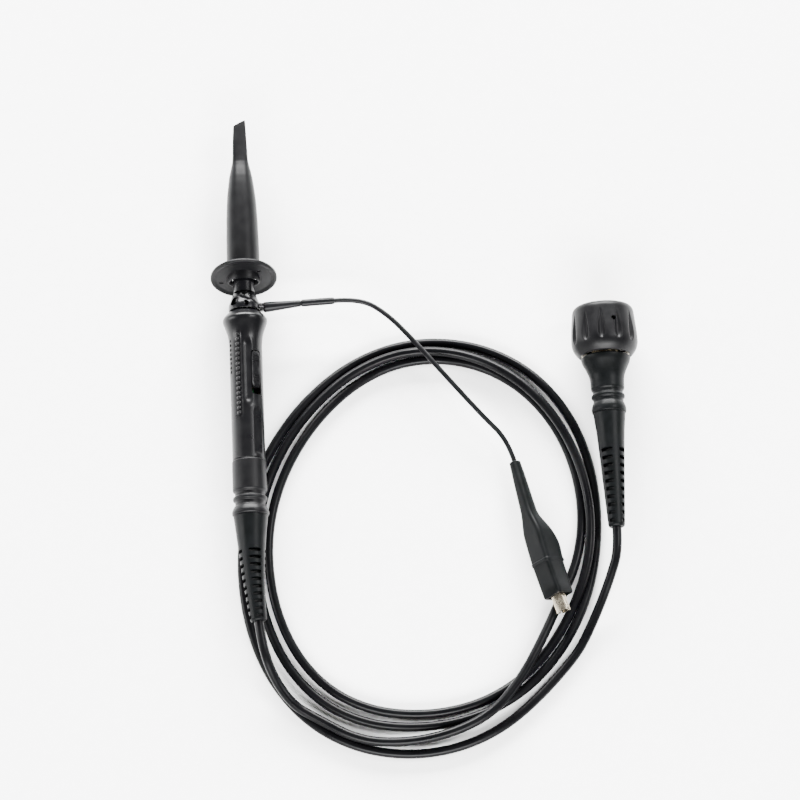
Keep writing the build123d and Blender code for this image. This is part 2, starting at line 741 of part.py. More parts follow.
JAW_TIP = CLIP_LENGTH + JAW_REACH
INNER_JAW_WIDTH = JAW_WIDTH - 2 * JAW_SHEET - 2 * RUNNING

clip_fixed_jaw = jaw(
    cheek=[
        (24, -2.2),
        (33, -2.5),
        (JAW_TIP, -1.5),
        (JAW_TIP, -0.05),
        (PIVOT_STATION + 2.5, -0.05),
        (PIVOT_STATION + 1.5, 1.2),
        (PIVOT_STATION - 1.5, 1.2),
        (PIVOT_STATION - 3.5, -1.2),
        (24, -1.2),
    ],
    hollow=[(20, -1.8), (33, -2.1), (JAW_TIP + 1, -1.1), (JAW_TIP + 1, 3), (20, 3)],
    width=JAW_WIDTH,
)
save(clip_fixed_jaw, "clip_fixed_jaw")

clip_moving_jaw = jaw(
    cheek=[
        (24, 1.3),
        (27.2, 3.2),
        (28.2, 3.3),
        (32.4, 1.9),
        (CLIP_LENGTH, 1.2),
        (JAW_TIP, 1.2),
        (JAW_TIP, 0.05),
        (PIVOT_STATION + 2.2, 0.05),
        (PIVOT_STATION + 1.2, -1.2),
        (PIVOT_STATION - 1.2, -1.2),
        (PIVOT_STATION - 3.2, 0.6),
        (27.6, 2.2),
        (24.6, 0.5),
    ],
    hollow=[
        (20, -3),
        (20, 0.9),
        (24.2, 0.9),
        (27.4, 2.8),
        (28.2, 2.9),
        (32.4, 1.5),
        (JAW_TIP + 1, 0.8),
        (JAW_TIP + 1, -3),
    ],
    width=INNER_JAW_WIDTH,
)
save(clip_moving_jaw, "clip_moving_jaw")

with BuildPart() as clip_pivot_pin:
    with Locations(at(CLIP, PIVOT_STATION, PIVOT_SIDE, 0)):
        Cylinder(PIVOT_RADIUS, JAW_WIDTH + 0.8)
save(clip_pivot_pin, "clip_pivot_pin")

CLIP_SPRING_HEIGHT = 0.9
spring_foot = at(CLIP, PIVOT_STATION, PIVOT_SIDE, -CLIP_SPRING_HEIGHT / 2).position
clip_spring = wound_wire(spring_foot, CLIP.z_dir, CLIP_SPRING_HEIGHT, 2, 1.0, 0.18)
save(clip_spring, "clip_spring")

# ---- BNC plug, stations run back from its front ------------------------------------------------------
with BuildPart() as fluted_sleeve:
    grip = outline(
        PLUG,
        (0, NUT_RADIUS + CLEAR),
        (0, PLUG_SLEEVE_RADIUS - 1.7),
        (-0.9, PLUG_SLEEVE_RADIUS - 0.9),
        (-9.0, PLUG_SLEEVE_RADIUS),
        (-11.6, PLUG_SLEEVE_RADIUS),
        (-13.6, PLUG_SLEEVE_RADIUS - 0.7),
        (-PLUG_SLEEVE_LENGTH, PLUG_SLEEVE_RADIUS - 2.2),
        (-PLUG_SLEEVE_LENGTH, NUT_RADIUS + CLEAR),
    )
    revolve(grip, axis=long_axis(PLUG))
    flute = Location((0, -7.6, 10.5), (90, 0, 0))
    with Locations([at(PLUG, 0, 0, 0, (0, 30 * index, 0)) * flute for index in range(12)]):
        Cylinder(1.5, 9.2, mode=Mode.SUBTRACT)
    with Locations(at(PLUG, 0, -5.9, 0, (0, 16, 0)) * Location((0, 0, NUT_RADIUS + 1))):
        Cylinder(0.75, 4, align=(Align.CENTER, Align.CENTER, Align.MIN), mode=Mode.SUBTRACT)
save(fluted_sleeve, "fluted_sleeve")

with BuildPart() as coupling_nut:
    nut_section = outline(
        PLUG,
        (-NUT_FRONT, NUT_BORE),
        (-NUT_FRONT, NUT_RADIUS),
        (-NUT_FRONT - NUT_LENGTH, NUT_RADIUS),
        (-NUT_FRONT - NUT_LENGTH, PLUG_BARREL_RADIUS + RUNNING),
        (-PLUG_LIP, PLUG_BARREL_RADIUS + RUNNING),
        (-PLUG_LIP, NUT_BORE),
    )
    revolve(nut_section, axis=long_axis(PLUG))
    groove_depth = NUT_BORE + 0.8
    for side in (0, 180):
        entry = at(PLUG, 0, -BAYONET_STATION, 0, (0, side, 0))
        climb = [(-BAYONET_STATION - 0.25 * step, side + 9 * step) for step in range(1, 8)]
        ramp = [at(PLUG, 0, station, 0, (0, turn, 0)) for station, turn in climb]
        for spots, length in [([entry], 4 * BAYONET_GROOVE), (ramp, BAYONET_GROOVE)]:
            with Locations(spots):
                Box(
                    BAYONET_GROOVE,
                    length,
                    groove_depth,
                    align=(Align.CENTER, Align.CENTER, Align.MIN),
                    mode=Mode.SUBTRACT,
                )
save(coupling_nut, "coupling_nut")

with BuildPart() as bnc_body:
    contact_bore = CONTACT_RADIUS - CONTACT_WALL
    shell = outline(
        PLUG,
        (-CONTACT_FRONT, contact_bore),
        (-CONTACT_FRONT, CONTACT_RADIUS),
        (-CONTACT_REAR, CONTACT_RADIUS),
        (-CONTACT_REAR, HUB_RADIUS),
        (-PLUG_FLANGE, HUB_RADIUS),
        (-PLUG_FLANGE, NUT_BORE - 0.1),
        (-PLUG_FLANGE - 1, NUT_BORE - 0.1),
        (-PLUG_FLANGE - 1, PLUG_BARREL_RADIUS),
        (-BELL_FRONT - 1.6, PLUG_BARREL_RADIUS),
        (-BELL_FRONT - 1.6, 3.0),
        (-PLUG_LIP - 1.4, 3.0),
        (-PLUG_LIP - 1.4, contact_bore),
    )
    revolve(shell, axis=long_axis(PLUG))
    with Locations(at(PLUG, 0, -CONTACT_FRONT, 0)):
        Box(12, 4, 0.4, mode=Mode.SUBTRACT)
        Box(0.4, 4, 12, mode=Mode.SUBTRACT)
save(bnc_body, "bnc_body")

with BuildPart() as bnc_insulator:
    bead = ring(PLUG, -PIN_SHOULDER, -PLUG_LIP - 1.4, contact_bore - CLEAR, PIN_ROOT_RADIUS + CLEAR)
    revolve(bead, axis=long_axis(PLUG))
save(bnc_insulator, "bnc_insulator")

with BuildPart() as bnc_center_pin:
    pin = outline(
        PLUG,
        (-PIN_FRONT, 0),
        (-PIN_FRONT, 0.3),
        (-PIN_FRONT - 0.5, PIN_RADIUS),
        (-PIN_SHOULDER, PIN_RADIUS),
        (-PIN_SHOULDER, PIN_ROOT_RADIUS),
        (-BELL_FRONT - 1.4, PIN_ROOT_RADIUS),
        (-BELL_FRONT - 1.4, 0),
    )
    revolve(pin, axis=long_axis(PLUG))
save(bnc_center_pin, "bnc_center_pin")

with BuildPart() as bnc_gasket:
    seal = ring(PLUG, -PLUG_FLANGE + 0.8, -PLUG_FLANGE, NUT_BORE - 0.1, HUB_RADIUS + CLEAR)
    revolve(seal, axis=long_axis(PLUG))
save(bnc_gasket, "bnc_gasket")

with BuildPart() as bnc_spring_washer:
    washer = ring(PLUG, -PLUG_FLANGE - 1.3, -PLUG_LIP + 0.6, NUT_BORE - 0.15, PLUG_BARREL_RADIUS + CLEAR)
    revolve(washer, axis=long_axis(PLUG))
save(bnc_spring_washer, "bnc_spring_washer")

with BuildPart() as bell_housing:
    with BuildSketch(PLUG) as bell_half:
        with BuildLine():
            mouth_line = Line((BELL_BORE, -BELL_FRONT), (BELL_FRONT_RADIUS, -BELL_FRONT))
            shoulder = Line(mouth_line @ 1, (BELL_FRONT_RADIUS, -BELL_FRONT - 0.8))
            waist = Spline(
                shoulder @ 1,
                (BELL_RADIUS, -BELL_NECK),
                tangents=[(-0.15, -1), (0, -1)],
            )
            neck = Line(waist @ 1, (BELL_RADIUS, -BELL_REAR))
            rear_line = Line(neck @ 1, (BELL_BORE, -BELL_REAR))
            Line(rear_line @ 1, mouth_line @ 0)
        make_face()
    revolve(bell_half.sketch, axis=long_axis(PLUG))
    ridge = ring(PLUG, -BELL_REAR + 1.6, -BELL_REAR + 0.4, BELL_RADIUS + 0.2, BELL_BORE)
    revolve(ridge, axis=long_axis(PLUG))
    for groove in (-26.0, -28.6):
        cut = ring(PLUG, groove, groove - 1.2, BELL_RADIUS + 1, BELL_RADIUS - 0.45)
        revolve(cut, axis=long_axis(PLUG), mode=Mode.SUBTRACT)
    seat = ring(PLUG, -BELL_FRONT, -BELL_FRONT - 1.6, PLUG_BARREL_RADIUS + CLEAR)
    revolve(seat, axis=long_axis(PLUG), mode=Mode.SUBTRACT)
    with Locations(at(PLUG, 0, -TRIMMER_STATION, -BELL_BORE + 1)):
        Cylinder(TRIMMER_ACCESS_RADIUS, 6, align=(Align.CENTER, Align.CENTER, Align.MAX), mode=Mode.SUBTRACT)
save(bell_housing, "bell_housing")

bnc_strain_relief = strain_relief(
    PLUG,
    -BELL_REAR,
    PLUG_RELIEF_LENGTH,
    BELL_RADIUS - 0.15,
    RELIEF_END_RADIUS,
    BELL_BORE - CLEAR,
    PLUG_RELIEF_PLUG,
    0,
)
save(bnc_strain_relief, "bnc_strain_relief")

with BuildPart() as compensation_board:
    board_front = -BELL_FRONT - 2.0
    board_length = BELL_REAR - PLUG_RELIEF_PLUG - GAP + board_front
    with Locations(at(PLUG, 0, board_front, 0)):
        Box(BOARD_WIDTH, board_length, BOARD_THICKNESS, align=(Align.CENTER, Align.MAX, Align.CENTER))
save(compensation_board, "compensation_board")

with BuildPart() as trimmer_body:
    with Locations(at(PLUG, 0, -TRIMMER_STATION, -BOARD_THICKNESS / 2)):
        Cylinder(TRIMMER_RADIUS, 1.4, align=(Align.CENTER, Align.CENTER, Align.MAX))
save(trimmer_body, "trimmer_body")

with BuildPart() as trimmer_screw:
    with Locations(at(PLUG, 0, -TRIMMER_STATION, -BOARD_THICKNESS / 2 - 1.4 - RUNNING)):
        Cylinder(1.0, 0.9, align=(Align.CENTER, Align.CENTER, Align.MAX))
    with Locations(at(PLUG, 0, -TRIMMER_STATION, -BOARD_THICKNESS / 2 - 1.4 - 0.5)):
        Box(3, 0.35, 2, align=(Align.CENTER, Align.CENTER, Align.MAX), mode=Mode.SUBTRACT)
save(trimmer_screw, "trimmer_screw")
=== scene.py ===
"""Looks of a passive oscilloscope probe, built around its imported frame.

The row frame is in metres. A piece is shaped in its own millimetres and then placed: the probe, the plug and
the clip each have a local frame with y or x along their axis, taken from the record's mounts and joints.
"""

import json
from math import asin, cos, exp, hypot, pi, radians, sin

import bmesh
import bpy
from mathutils import Matrix, Vector


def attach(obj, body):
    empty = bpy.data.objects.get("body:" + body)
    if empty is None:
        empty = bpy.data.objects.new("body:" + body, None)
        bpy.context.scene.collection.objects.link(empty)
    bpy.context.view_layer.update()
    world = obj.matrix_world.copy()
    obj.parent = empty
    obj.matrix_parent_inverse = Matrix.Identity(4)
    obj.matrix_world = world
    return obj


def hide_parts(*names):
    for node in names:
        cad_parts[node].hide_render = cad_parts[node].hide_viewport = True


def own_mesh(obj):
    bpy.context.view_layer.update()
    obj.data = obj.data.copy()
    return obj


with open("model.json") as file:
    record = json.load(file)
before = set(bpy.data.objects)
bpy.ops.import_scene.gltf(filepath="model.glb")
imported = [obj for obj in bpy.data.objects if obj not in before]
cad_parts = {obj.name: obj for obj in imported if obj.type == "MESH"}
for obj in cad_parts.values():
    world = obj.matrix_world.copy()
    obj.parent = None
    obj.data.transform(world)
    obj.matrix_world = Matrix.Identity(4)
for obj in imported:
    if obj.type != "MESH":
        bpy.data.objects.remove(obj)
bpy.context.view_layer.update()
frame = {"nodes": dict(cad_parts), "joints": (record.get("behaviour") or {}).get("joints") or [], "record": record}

MM = 0.001
mounts = {mount["name"]: mount for mount in frame["record"]["mounts"]}
joints = {joint["name"]: joint for joint in frame["joints"]}


# ---- local frames -----------------------------------------------------------------------------------
def local_frame(origin, x_axis, y_axis):
    """Placement of local millimetres, with these directions, at an origin in metres."""
    x, y = Vector(x_axis).normalized(), Vector(y_axis).normalized()
    turn = Matrix((x, y, x.cross(y))).transposed().to_4x4()
    return Matrix.Translation(origin) @ turn @ Matrix.Scale(MM, 4)


PLUG_FACE = 6.0  # from the outer contact's mount to the sleeve's front face
CLIP_PIVOT_AHEAD = 34.0  # the jaw's pivot in the clip's own frame
CLIP_PIVOT_BELOW = 0.1

AXIS_HEIGHT = joints["ground_lead_swivel"]["pos_m"][2]
PROBE = local_frame((0, 0, AXIS_HEIGHT), (1, 0, 0), (0, 1, 0))
plug_ahead = Vector(mounts["bnc_outer_contact"]["axis"])
PLUG = local_frame(
    Vector(mounts["bnc_outer_contact"]["pos_m"]) + plug_ahead * PLUG_FACE * MM,
    (plug_ahead.y, -plug_ahead.x, 0),
    plug_ahead,
)
clip_ahead = Vector(mounts["ground_clip"]["axis"])
clip_across = Vector(joints["clip_open"]["axis"])
clip_thumb = clip_across.cross(clip_ahead)
clip_pivot = Vector(joints["clip_open"]["pos_m"])
CLIP_TAIL = clip_pivot - clip_ahead * CLIP_PIVOT_AHEAD * MM + clip_thumb * CLIP_PIVOT_BELOW * MM
CLIP = local_frame(CLIP_TAIL, clip_ahead, clip_thumb)


# ---- camera -----------------------------------------------------------------------------------------
CAMERA_ELEVATION = radians(73)
CAMERA_HEADING = radians(2.1)
CAMERA_DISTANCE = 1.6
FIELD_WIDTH = 0.240
LOOKS_AT = Vector((0.0456, -0.0086, 0.0))

camera_right = Vector((cos(CAMERA_HEADING), -sin(CAMERA_HEADING), 0))
ground_ahead = Vector((sin(CAMERA_HEADING), cos(CAMERA_HEADING), 0))
sight = ground_ahead * cos(CAMERA_ELEVATION) - Vector((0, 0, sin(CAMERA_ELEVATION)))
camera_up = camera_right.cross(sight)
lens = bpy.data.cameras.new("camera")
lens.sensor_width = 36
lens.lens = lens.sensor_width * CAMERA_DISTANCE / FIELD_WIDTH
lens.clip_end = 20
camera = bpy.data.objects.new("camera", lens)
camera.matrix_world = Matrix.Translation(LOOKS_AT - sight * CAMERA_DISTANCE) @ Matrix(
    (camera_right, camera_up, -sight)
).transposed().to_4x4()
bpy.context.scene.collection.objects.link(camera)
bpy.context.scene.camera = camera


# ---- materials --------------------------------------------------------------------------------------
def linear(colour):
    """sRGB hex to the linear colour that a shader takes."""
    parts = [int(colour[i : i + 2], 16) / 255 for i in (1, 3, 5)]
    return tuple(c / 12.92 if c <= 0.04045 else ((c + 0.055) / 1.055) ** 2.4 for c in parts) + (1.0,)


def add(tree, kind, sockets=None, **settings):
    """Adds a node; a socket's value is a constant or the output that feeds it."""
    made = tree.nodes.new(kind)
    for name, value in settings.items():
        setattr(made, name, value)
    for name, value in (sockets or {}).items():
        if isinstance(value, bpy.types.NodeSocket):
            tree.links.new(value, made.inputs[name])
        else:
            made.inputs[name].default_value = value
    return made


DRIFT_BAND = (0.3, 0.7)  # the part of the slow noise that a finish's two colours span
GLOSS_BAND = (0.25, 0.75)  # the part of it that the roughness spans
GRAIN_STRENGTH = 0.6


def surface(name, colour, shade, roughness, spread, grain, depth, cloud=3.0, specular=0.5, **shader):
    """A finish with a grain of so many millimetres and depth, and a slow drift of colour and gloss.

    colour and shade are the hex ends of its colour drift, roughness and spread the middle and reach of its
    gloss, and cloud the size of the drift in millimetres.
    """
    material = bpy.data.materials.new(name)
    material.use_nodes = True
    tree = material.node_tree
    tree.nodes.clear()
    place = add(tree, "ShaderNodeTexCoord").outputs["Object"]
    drift = add(tree, "ShaderNodeTexNoise", {"Vector": place, "Scale": 1 / (cloud * MM), "Detail": 3.0})
    speck = add(tree, "ShaderNodeTexNoise", {"Vector": place, "Scale": 1 / (grain * MM), "Detail": 2.0})
    tint = add(tree, "ShaderNodeValToRGB", {"Fac": drift.outputs["Fac"]})
    for stop, position, end in zip(tint.color_ramp.elements, DRIFT_BAND, (shade, colour)):
        stop.position = position
        stop.color = linear(end)
    spans = {1: GLOSS_BAND[0], 2: GLOSS_BAND[1], 3: roughness - spread, 4: roughness + spread}
    gloss = add(tree, "ShaderNodeMapRange", {"Value": drift.outputs["Fac"], **spans})
    bump = add(
        tree,
        "ShaderNodeBump",
        {"Height": speck.outputs["Fac"], "Strength": GRAIN_STRENGTH, "Distance": depth * MM},
    )
    glaze = {
        "Base Color": tint.outputs["Color"],
        "Roughness": gloss.outputs["Result"],
        "Normal": bump.outputs["Normal"],
        "Specular IOR Level": specular,
    }
    principled = add(tree, "ShaderNodeBsdfPrincipled", {**glaze, **shader})
    add(tree, "ShaderNodeOutputMaterial", {"Surface": principled.outputs["BSDF"]})
    return material


ABS_IOR = 1.54
PVC_IOR = 1.53
SILICONE_IOR = 1.43

# The black plastics are carbon-filled and take a low specular level, which keeps them deep black.
# Injection-moulded ABS from a spark-eroded mould: a fine dull texture that spreads every highlight.
textured_abs = surface(
    "textured_abs", "#070708", "#050506", 0.4, 0.05, 0.16, 0.01, specular=0.08, IOR=ABS_IOR
)
# The same ABS from a polished mould, on the handle and its slider: broad soft highlights.
polished_abs = surface(
    "polished_abs", "#070708", "#050506", 0.3, 0.04, 0.3, 0.002, specular=0.12, IOR=ABS_IOR
)
# Glossy ABS of the hook's carrier and the clip ring: narrow streaks of light.
glossy_abs = surface(
    "glossy_abs", "#08080a", "#060607", 0.24, 0.04, 0.4, 0.002, specular=0.16, IOR=ABS_IOR
)
# Soft PVC of the boot, the bell and the strain reliefs: dull, with no sharp reflections.
soft_pvc = surface(
    "soft_pvc", "#060708", "#040505", 0.4, 0.06, 0.35, 0.01, specular=0.05, IOR=PVC_IOR
)
# Extruded PVC cable jacket: satin, with a slow waviness left by the extrusion.
cable_jacket = surface(
    "cable_jacket", "#060607", "#040405", 0.3, 0.05, 1.6, 0.02, cloud=8.0, specular=0.06, IOR=PVC_IOR
)
# Extruded silicone of the ground wire and its heat-shrink: a little duller than the cable.
lead_jacket = surface(
    "lead_jacket", "#08080a", "#060607", 0.36, 0.06, 0.8, 0.01, specular=0.12, IOR=SILICONE_IOR
)
# Bright nickel plate on brass or steel: a warm metal with fine handling marks.
bright_nickel = surface("bright_nickel", "#beb5a3", "#a69d8b", 0.24, 0.08, 0.25, 0.006, Metallic=1.0)
# Black nickel plate on the hook and the nose barrel: a dark satin metal.
black_nickel = surface("black_nickel", "#323234", "#252527", 0.36, 0.06, 0.25, 0.004, Metallic=1.0)
# Thin gold flash over brass, on contacts.
gold_flash = surface("gold_flash", "#d9b65c", "#c49e47", 0.22, 0.06, 0.25, 0.004, Metallic=1.0)
# Drawn spring wire: grey steel with a drawn sheen.
spring_wire = surface("spring_wire", "#8f9092", "#76787a", 0.32, 0.06, 0.12, 0.004, Metallic=1.0)
# PTFE bead: white and waxy, a little light passes into it.
ptfe_bead = surface(
    "ptfe_bead", "#e9e7e0", "#dddad0", 0.45, 0.05, 0.3, 0.004, IOR=1.38, **{"Subsurface Weight": 0.1}
)
# Glass-epoxy board under green solder mask.
epoxy_board = surface("epoxy_board", "#1f5a35", "#174a2b", 0.35, 0.06, 0.5, 0.01, IOR=1.55)
# Fired ceramic of the small parts: matt and chalky.
fired_ceramic = surface("fired_ceramic", "#b8ab95", "#a5977f", 0.6, 0.05, 0.2, 0.01, IOR=1.6)
# Silicone seal: dull red-brown rubber.
seal_silicone = surface("seal_silicone", "#7a3a2e", "#6a3026", 0.55, 0.05, 0.3, 0.008, IOR=1.41)


# ---- shaping ----------------------------------------------------------------------------------------
def solid(name, points, faces):
    """Closed mesh object, in local millimetres, with its doubles merged and its faces outwards."""
    mesh = bpy.data.meshes.new(name)
    mesh.from_pydata([tuple(point) for point in points], [], faces)
    shape = bmesh.new()
    shape.from_mesh(mesh)
    bmesh.ops.remove_doubles(shape, verts=shape.verts, dist=1e-4)
    bmesh.ops.dissolve_degenerate(shape, edges=shape.edges, dist=1e-5)
    bmesh.ops.recalc_face_normals(shape, faces=shape.faces)
    shape.to_mesh(mesh)
    shape.free()
    piece = bpy.data.objects.new(name, mesh)
    bpy.context.scene.collection.objects.link(piece)
    return piece


def skin(name, rings, joined=False):
    """Skin through equal rings of points; the last ring joins the first, or each end gets a fan."""
    count = len(rings[0])
    points = [Vector(point) for ring in rings for point in ring]
    spans = [(row, row + 1) for row in range(len(rings) - 1)]
    if joined:
        spans.append((len(rings) - 1, 0))
    faces = []
    for here, there in spans:
        for i in range(count):
            j = (i + 1) % count
            faces.append((here * count + i, here * count + j, there * count + j, there * count + i))
    if not joined:
        for first in (0, (len(rings) - 1) * count):
            points.append(sum(points[first : first + count], Vector()) / count)
            hub = len(points) - 1
            faces += [(first + i, first + (i + 1) % count, hub) for i in range(count)]
    return solid(name, points, faces)


def eased(corners, steps=5):
    """Closed outline of (station, radius, ease) corners, each rounded over its ease."""
    points = []
    for index, (station, radius, ease) in enumerate(corners):
        here = Vector((station, radius))
        sides = [Vector(corners[other][:2]) - here for other in (index - 1, (index + 1) % len(corners))]
        start, end = [here + side.normalized() * min(ease, side.length / 2) for side in sides]
        for step in range(steps + 1 if ease else 1):
            t = step / steps
            points.append(start * (1 - t) ** 2 + here * 2 * t * (1 - t) + end * t * t)
    return points


def finer(outline, pitch, front, rear):
    """Outline with points added, so that its stations between front and rear are at most a pitch apart."""
    points = []
    for index, here in enumerate(outline):
        after = outline[(index + 1) % len(outline)]
        inside = min(here[0], after[0]) >= rear - 1e-6 and max(here[0], after[0]) <= front + 1e-6
        steps = max(1, int(abs(after[0] - here[0]) / pitch)) if inside else 1
        points += [here + (after - here) * step / steps for step in range(steps)]
    return points


def turned(name, outline, segments=128, carved=None):
    """Piece turned about the local y axis; carved(station, radius, angle) gives a point's own radius.

    Angles run from straight up towards +x.
    """
    rings = []
    for station, radius in outline:
        ring = []
        for step in range(segments):
            angle = 2 * pi * step / segments
            reach = carved(station, radius, angle) if carved else radius
            ring.append((reach * sin(angle), station, reach * cos(angle)))
        rings.append(ring)
    return skin(name, rings, joined=True)


def oval(centre, half_across, half_up, squareness, segments, across=(1, 0, 0), up=(0, 0, 1)):
    """Ring of points on a superellipse: squareness 2 is an ellipse, 6 nearly a rectangle."""
    ring = []
    for step in range(segments):
        angle = 2 * pi * step / segments
        c, s = cos(angle), sin(angle)
        u = half_across * abs(c) ** (2 / squareness) * (1 if c >= 0 else -1)
        v = half_up * abs(s) ** (2 / squareness) * (1 if s >= 0 else -1)
        ring.append(Vector(centre) + Vector(across) * u + Vector(up) * v)
    return ring


BLOCK_SEGMENTS = 32


def block(name, size, squareness, round_off):
    """Rounded block standing on z = 0, with a rounded plan and softened top and bottom edges."""
    width, length, height = size
    levels = [(0, round_off), (round_off / 3, round_off / 4), (round_off, 0)]
    levels += [(height - z, inset) for z, inset in reversed(levels)]
    rings = [
        oval((0, 0, z), width / 2 - inset, length / 2 - inset, squareness, BLOCK_SEGMENTS, up=(0, 1, 0))
        for z, inset in levels
    ]
    return skin(name, rings)


def plug_of(name, radius, start, end, segments):
    """Cutter of a round hole along y, from one station to another."""
    return turned(name, [(start, 0.01), (start, radius), (end, radius), (end, 0.01)], segments)


def settle(piece):
    """Turns the piece's modifiers into its plain mesh."""
    bpy.context.view_layer.update()
    whole = piece.evaluated_get(bpy.context.evaluated_depsgraph_get())
    mesh = bpy.data.meshes.new_from_object(whole)
    piece.modifiers.clear()
    piece.data = mesh
    return piece


def carve(piece, tool, operation="DIFFERENCE"):
    """Cuts the tool out of the piece, or joins it on, and discards the tool."""
    cut = piece.modifiers.new("cut", "BOOLEAN")
    cut.operation = operation
    cut.solver = "EXACT"
    cut.object = tool
    settle(piece)
    bpy.data.objects.remove(tool)
    return piece


def moved(piece, turn=(0, 0, 0), to=(0, 0, 0)):
    """Turns the piece's mesh about x, y and z in degrees, then shifts it, in local millimetres."""
    for axis, degrees in zip("XYZ", turn):
        piece.data.transform(Matrix.Rotation(radians(degrees), 4, axis))
    piece.data.transform(Matrix.Translation(to))
    return piece


def arrange_tree():
    """Rows of a shape along the y axis, in columns about it, each row narrower than the last."""
    tree = bpy.data.node_groups.new("rows_about_axis", "GeometryNodeTree")
    tree.interface.new_socket("Shape", in_out="INPUT", socket_type="NodeSocketGeometry")
    sizes = [("Columns", "Int"), ("Rows", "Int"), ("First station", "Float"), ("Pitch", "Float")]
    sizes += [("Reach", "Float"), ("Reach step", "Float"), ("Roll", "Float"), ("Between columns", "Float")]
    sizes += [("Narrowing", "Float"), ("Finish", "Material")]
    for name, kind in sizes:
        tree.interface.new_socket(name, in_out="INPUT", socket_type="NodeSocket" + kind)
    tree.interface.new_socket("Set", in_out="OUTPUT", socket_type="NodeSocketGeometry")
    given = add(tree, "NodeGroupInput").outputs

    def figure(operation, first, second=0.0, third=0.0):
        """Output of one sum of the tree."""
        return add(tree, "ShaderNodeMath", {0: first, 1: second, 2: third}, operation=operation).outputs[0]

    index = add(tree, "GeometryNodeInputIndex").outputs[0]
    row = figure("FLOOR", figure("DIVIDE", figure("ADD", index, 0.5), given["Columns"]))
    column = figure("SUBTRACT", index, figure("MULTIPLY", row, given["Columns"]))
    angle = figure("MULTIPLY_ADD", column, given["Between columns"], given["Roll"])
    reach = figure("MULTIPLY_ADD", row, given["Reach step"], given["Reach"])
    station = figure("MULTIPLY_ADD", row, given["Pitch"], given["First station"])
    spot = add(
        tree,
        "ShaderNodeCombineXYZ",
        {
            "X": figure("MULTIPLY", reach, figure("SINE", angle)),
            "Y": station,
            "Z": figure("MULTIPLY", reach, figure("COSINE", angle)),
        },
    )
    width = figure("SUBTRACT", 1.0, figure("MULTIPLY", row, given["Narrowing"]))
    points = add(
        tree,
        "GeometryNodePoints",
        {"Count": figure("MULTIPLY", given["Columns"], given["Rows"]), "Position": spot.outputs[0]},
    )
    placed = add(
        tree,
        "GeometryNodeInstanceOnPoints",
        {
            "Points": points.outputs[0],
            "Instance": given["Shape"],
            "Rotation": add(tree, "ShaderNodeCombineXYZ", {"Y": angle}).outputs[0],
            "Scale": add(tree, "ShaderNodeCombineXYZ", {"X": width, "Y": 1.0, "Z": 1.0}).outputs[0],
        },
    )
    real = add(tree, "GeometryNodeRealizeInstances", {"Geometry": placed.outputs[0]})
    painted = add(tree, "GeometryNodeSetMaterial", {"Geometry": real.outputs[0], "Material": given["Finish"]})
    add(tree, "NodeGroupOutput", {"Set": painted.outputs[0]})
    return tree


ARRANGE = arrange_tree()


def arranged(
    shape, finish, rows, station, pitch, reach, roll=0.0, columns=1, between=90.0, step=0.0, narrowing=0.0
):
    """The shape repeated by the arrange tree, as one plain mesh; roll and between are in degrees."""
    values = {
        "Columns": columns,
        "Rows": rows,
        "First station": float(station),
        "Pitch": float(pitch),
        "Reach": float(reach),
        "Reach step": float(step),
        "Roll": radians(roll),
        "Between columns": radians(between),
        "Narrowing": float(narrowing),
        "Finish": finish,
    }
    spread = shape.modifiers.new("rows", "NODES")
    spread.node_group = ARRANGE
    for item in ARRANGE.interface.items_tree:
        if item.in_out == "INPUT" and item.name in values:
            spread[item.identifier] = values[item.name]
    return settle(shape)


def present(piece, place, finish, body, slot, *nodes, angle=32):
    """Places a finished piece, smooths it, ties it to its body, and hides the CAD nodes it stands for."""
    piece.data.transform(place)
    piece.data.materials.clear()
    piece.data.materials.append(finish)
    for face in piece.data.polygons:
        face.use_smooth = True
        face.material_index = 0
    piece.data.set_sharp_from_angle(angle=radians(angle))
    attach(piece, body)
    if nodes:
        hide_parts(*nodes)
    return piece


def smooth_step(value):
    """Eased rise from 0 to 1 while the value goes from 0 to 1."""
    t = min(1.0, max(0.0, value))
    return t * t * (3 - 2 * t)


# ---- free cable and ground wire ---------------------------------------------------------------------
CABLE_DIAMETER = 0.0028
WIRE_DIAMETER = 0.0015

# The handle's strain relief: its taper starts here, is this long and bends by so many degrees.
RELIEF_START = -50.0
RELIEF_TAPER = 28.3
RELIEF_BEND = 6.0
# The plug's strain relief starts at the bell's rear and is longer than the handle's.
BELL_REAR = -33.0
RELIEF_LENGTH = 32.25
PLUG_RELIEF_LENGTH = 35.1


def aside(point):
    """Where the bent strain relief carries a point of the straight one, in the probe's millimetres."""
    back = RELIEF_START - point[1]
    if back <= 0:
        return Vector(point)
    radius = RELIEF_TAPER / radians(RELIEF_BEND)
    turn = back / radius
    x = radius * (1 - cos(turn)) + point[0] * cos(turn)
    y = RELIEF_START - radius * sin(turn) + point[0] * sin(turn)
    return Vector((x, y, point[2]))


def cord_curve(name, points, diameter, finish):
    """Free cord along one smooth open spline through the row frame."""
    curve = bpy.data.curves.new(name, "CURVE")
    curve.dimensions = "3D"
    spline = curve.splines.new("NURBS")
    spline.points.add(len(points) - 1)
    for spot, point in zip(spline.points, points):
        spot.co = (*point, 1.0)
    spline.order_u = 3
    spline.use_endpoint_u = True
    curve.resolution_u = 10
    curve.bevel_depth = diameter / 2
    curve.bevel_resolution = 6
    curve.use_fill_caps = True
    curve.materials.append(finish)
    piece = bpy.data.objects.new(name, curve)
    bpy.context.scene.collection.objects.link(piece)
    return piece


relief_mouth = PROBE @ aside((0, RELIEF_START - RELIEF_TAPER, 0))
relief_back = (PROBE @ aside((0, RELIEF_START - RELIEF_TAPER - 1, 0)) - relief_mouth).normalized()
plug_mouth = PLUG @ Vector((0, BELL_REAR - PLUG_RELIEF_LENGTH, 0))

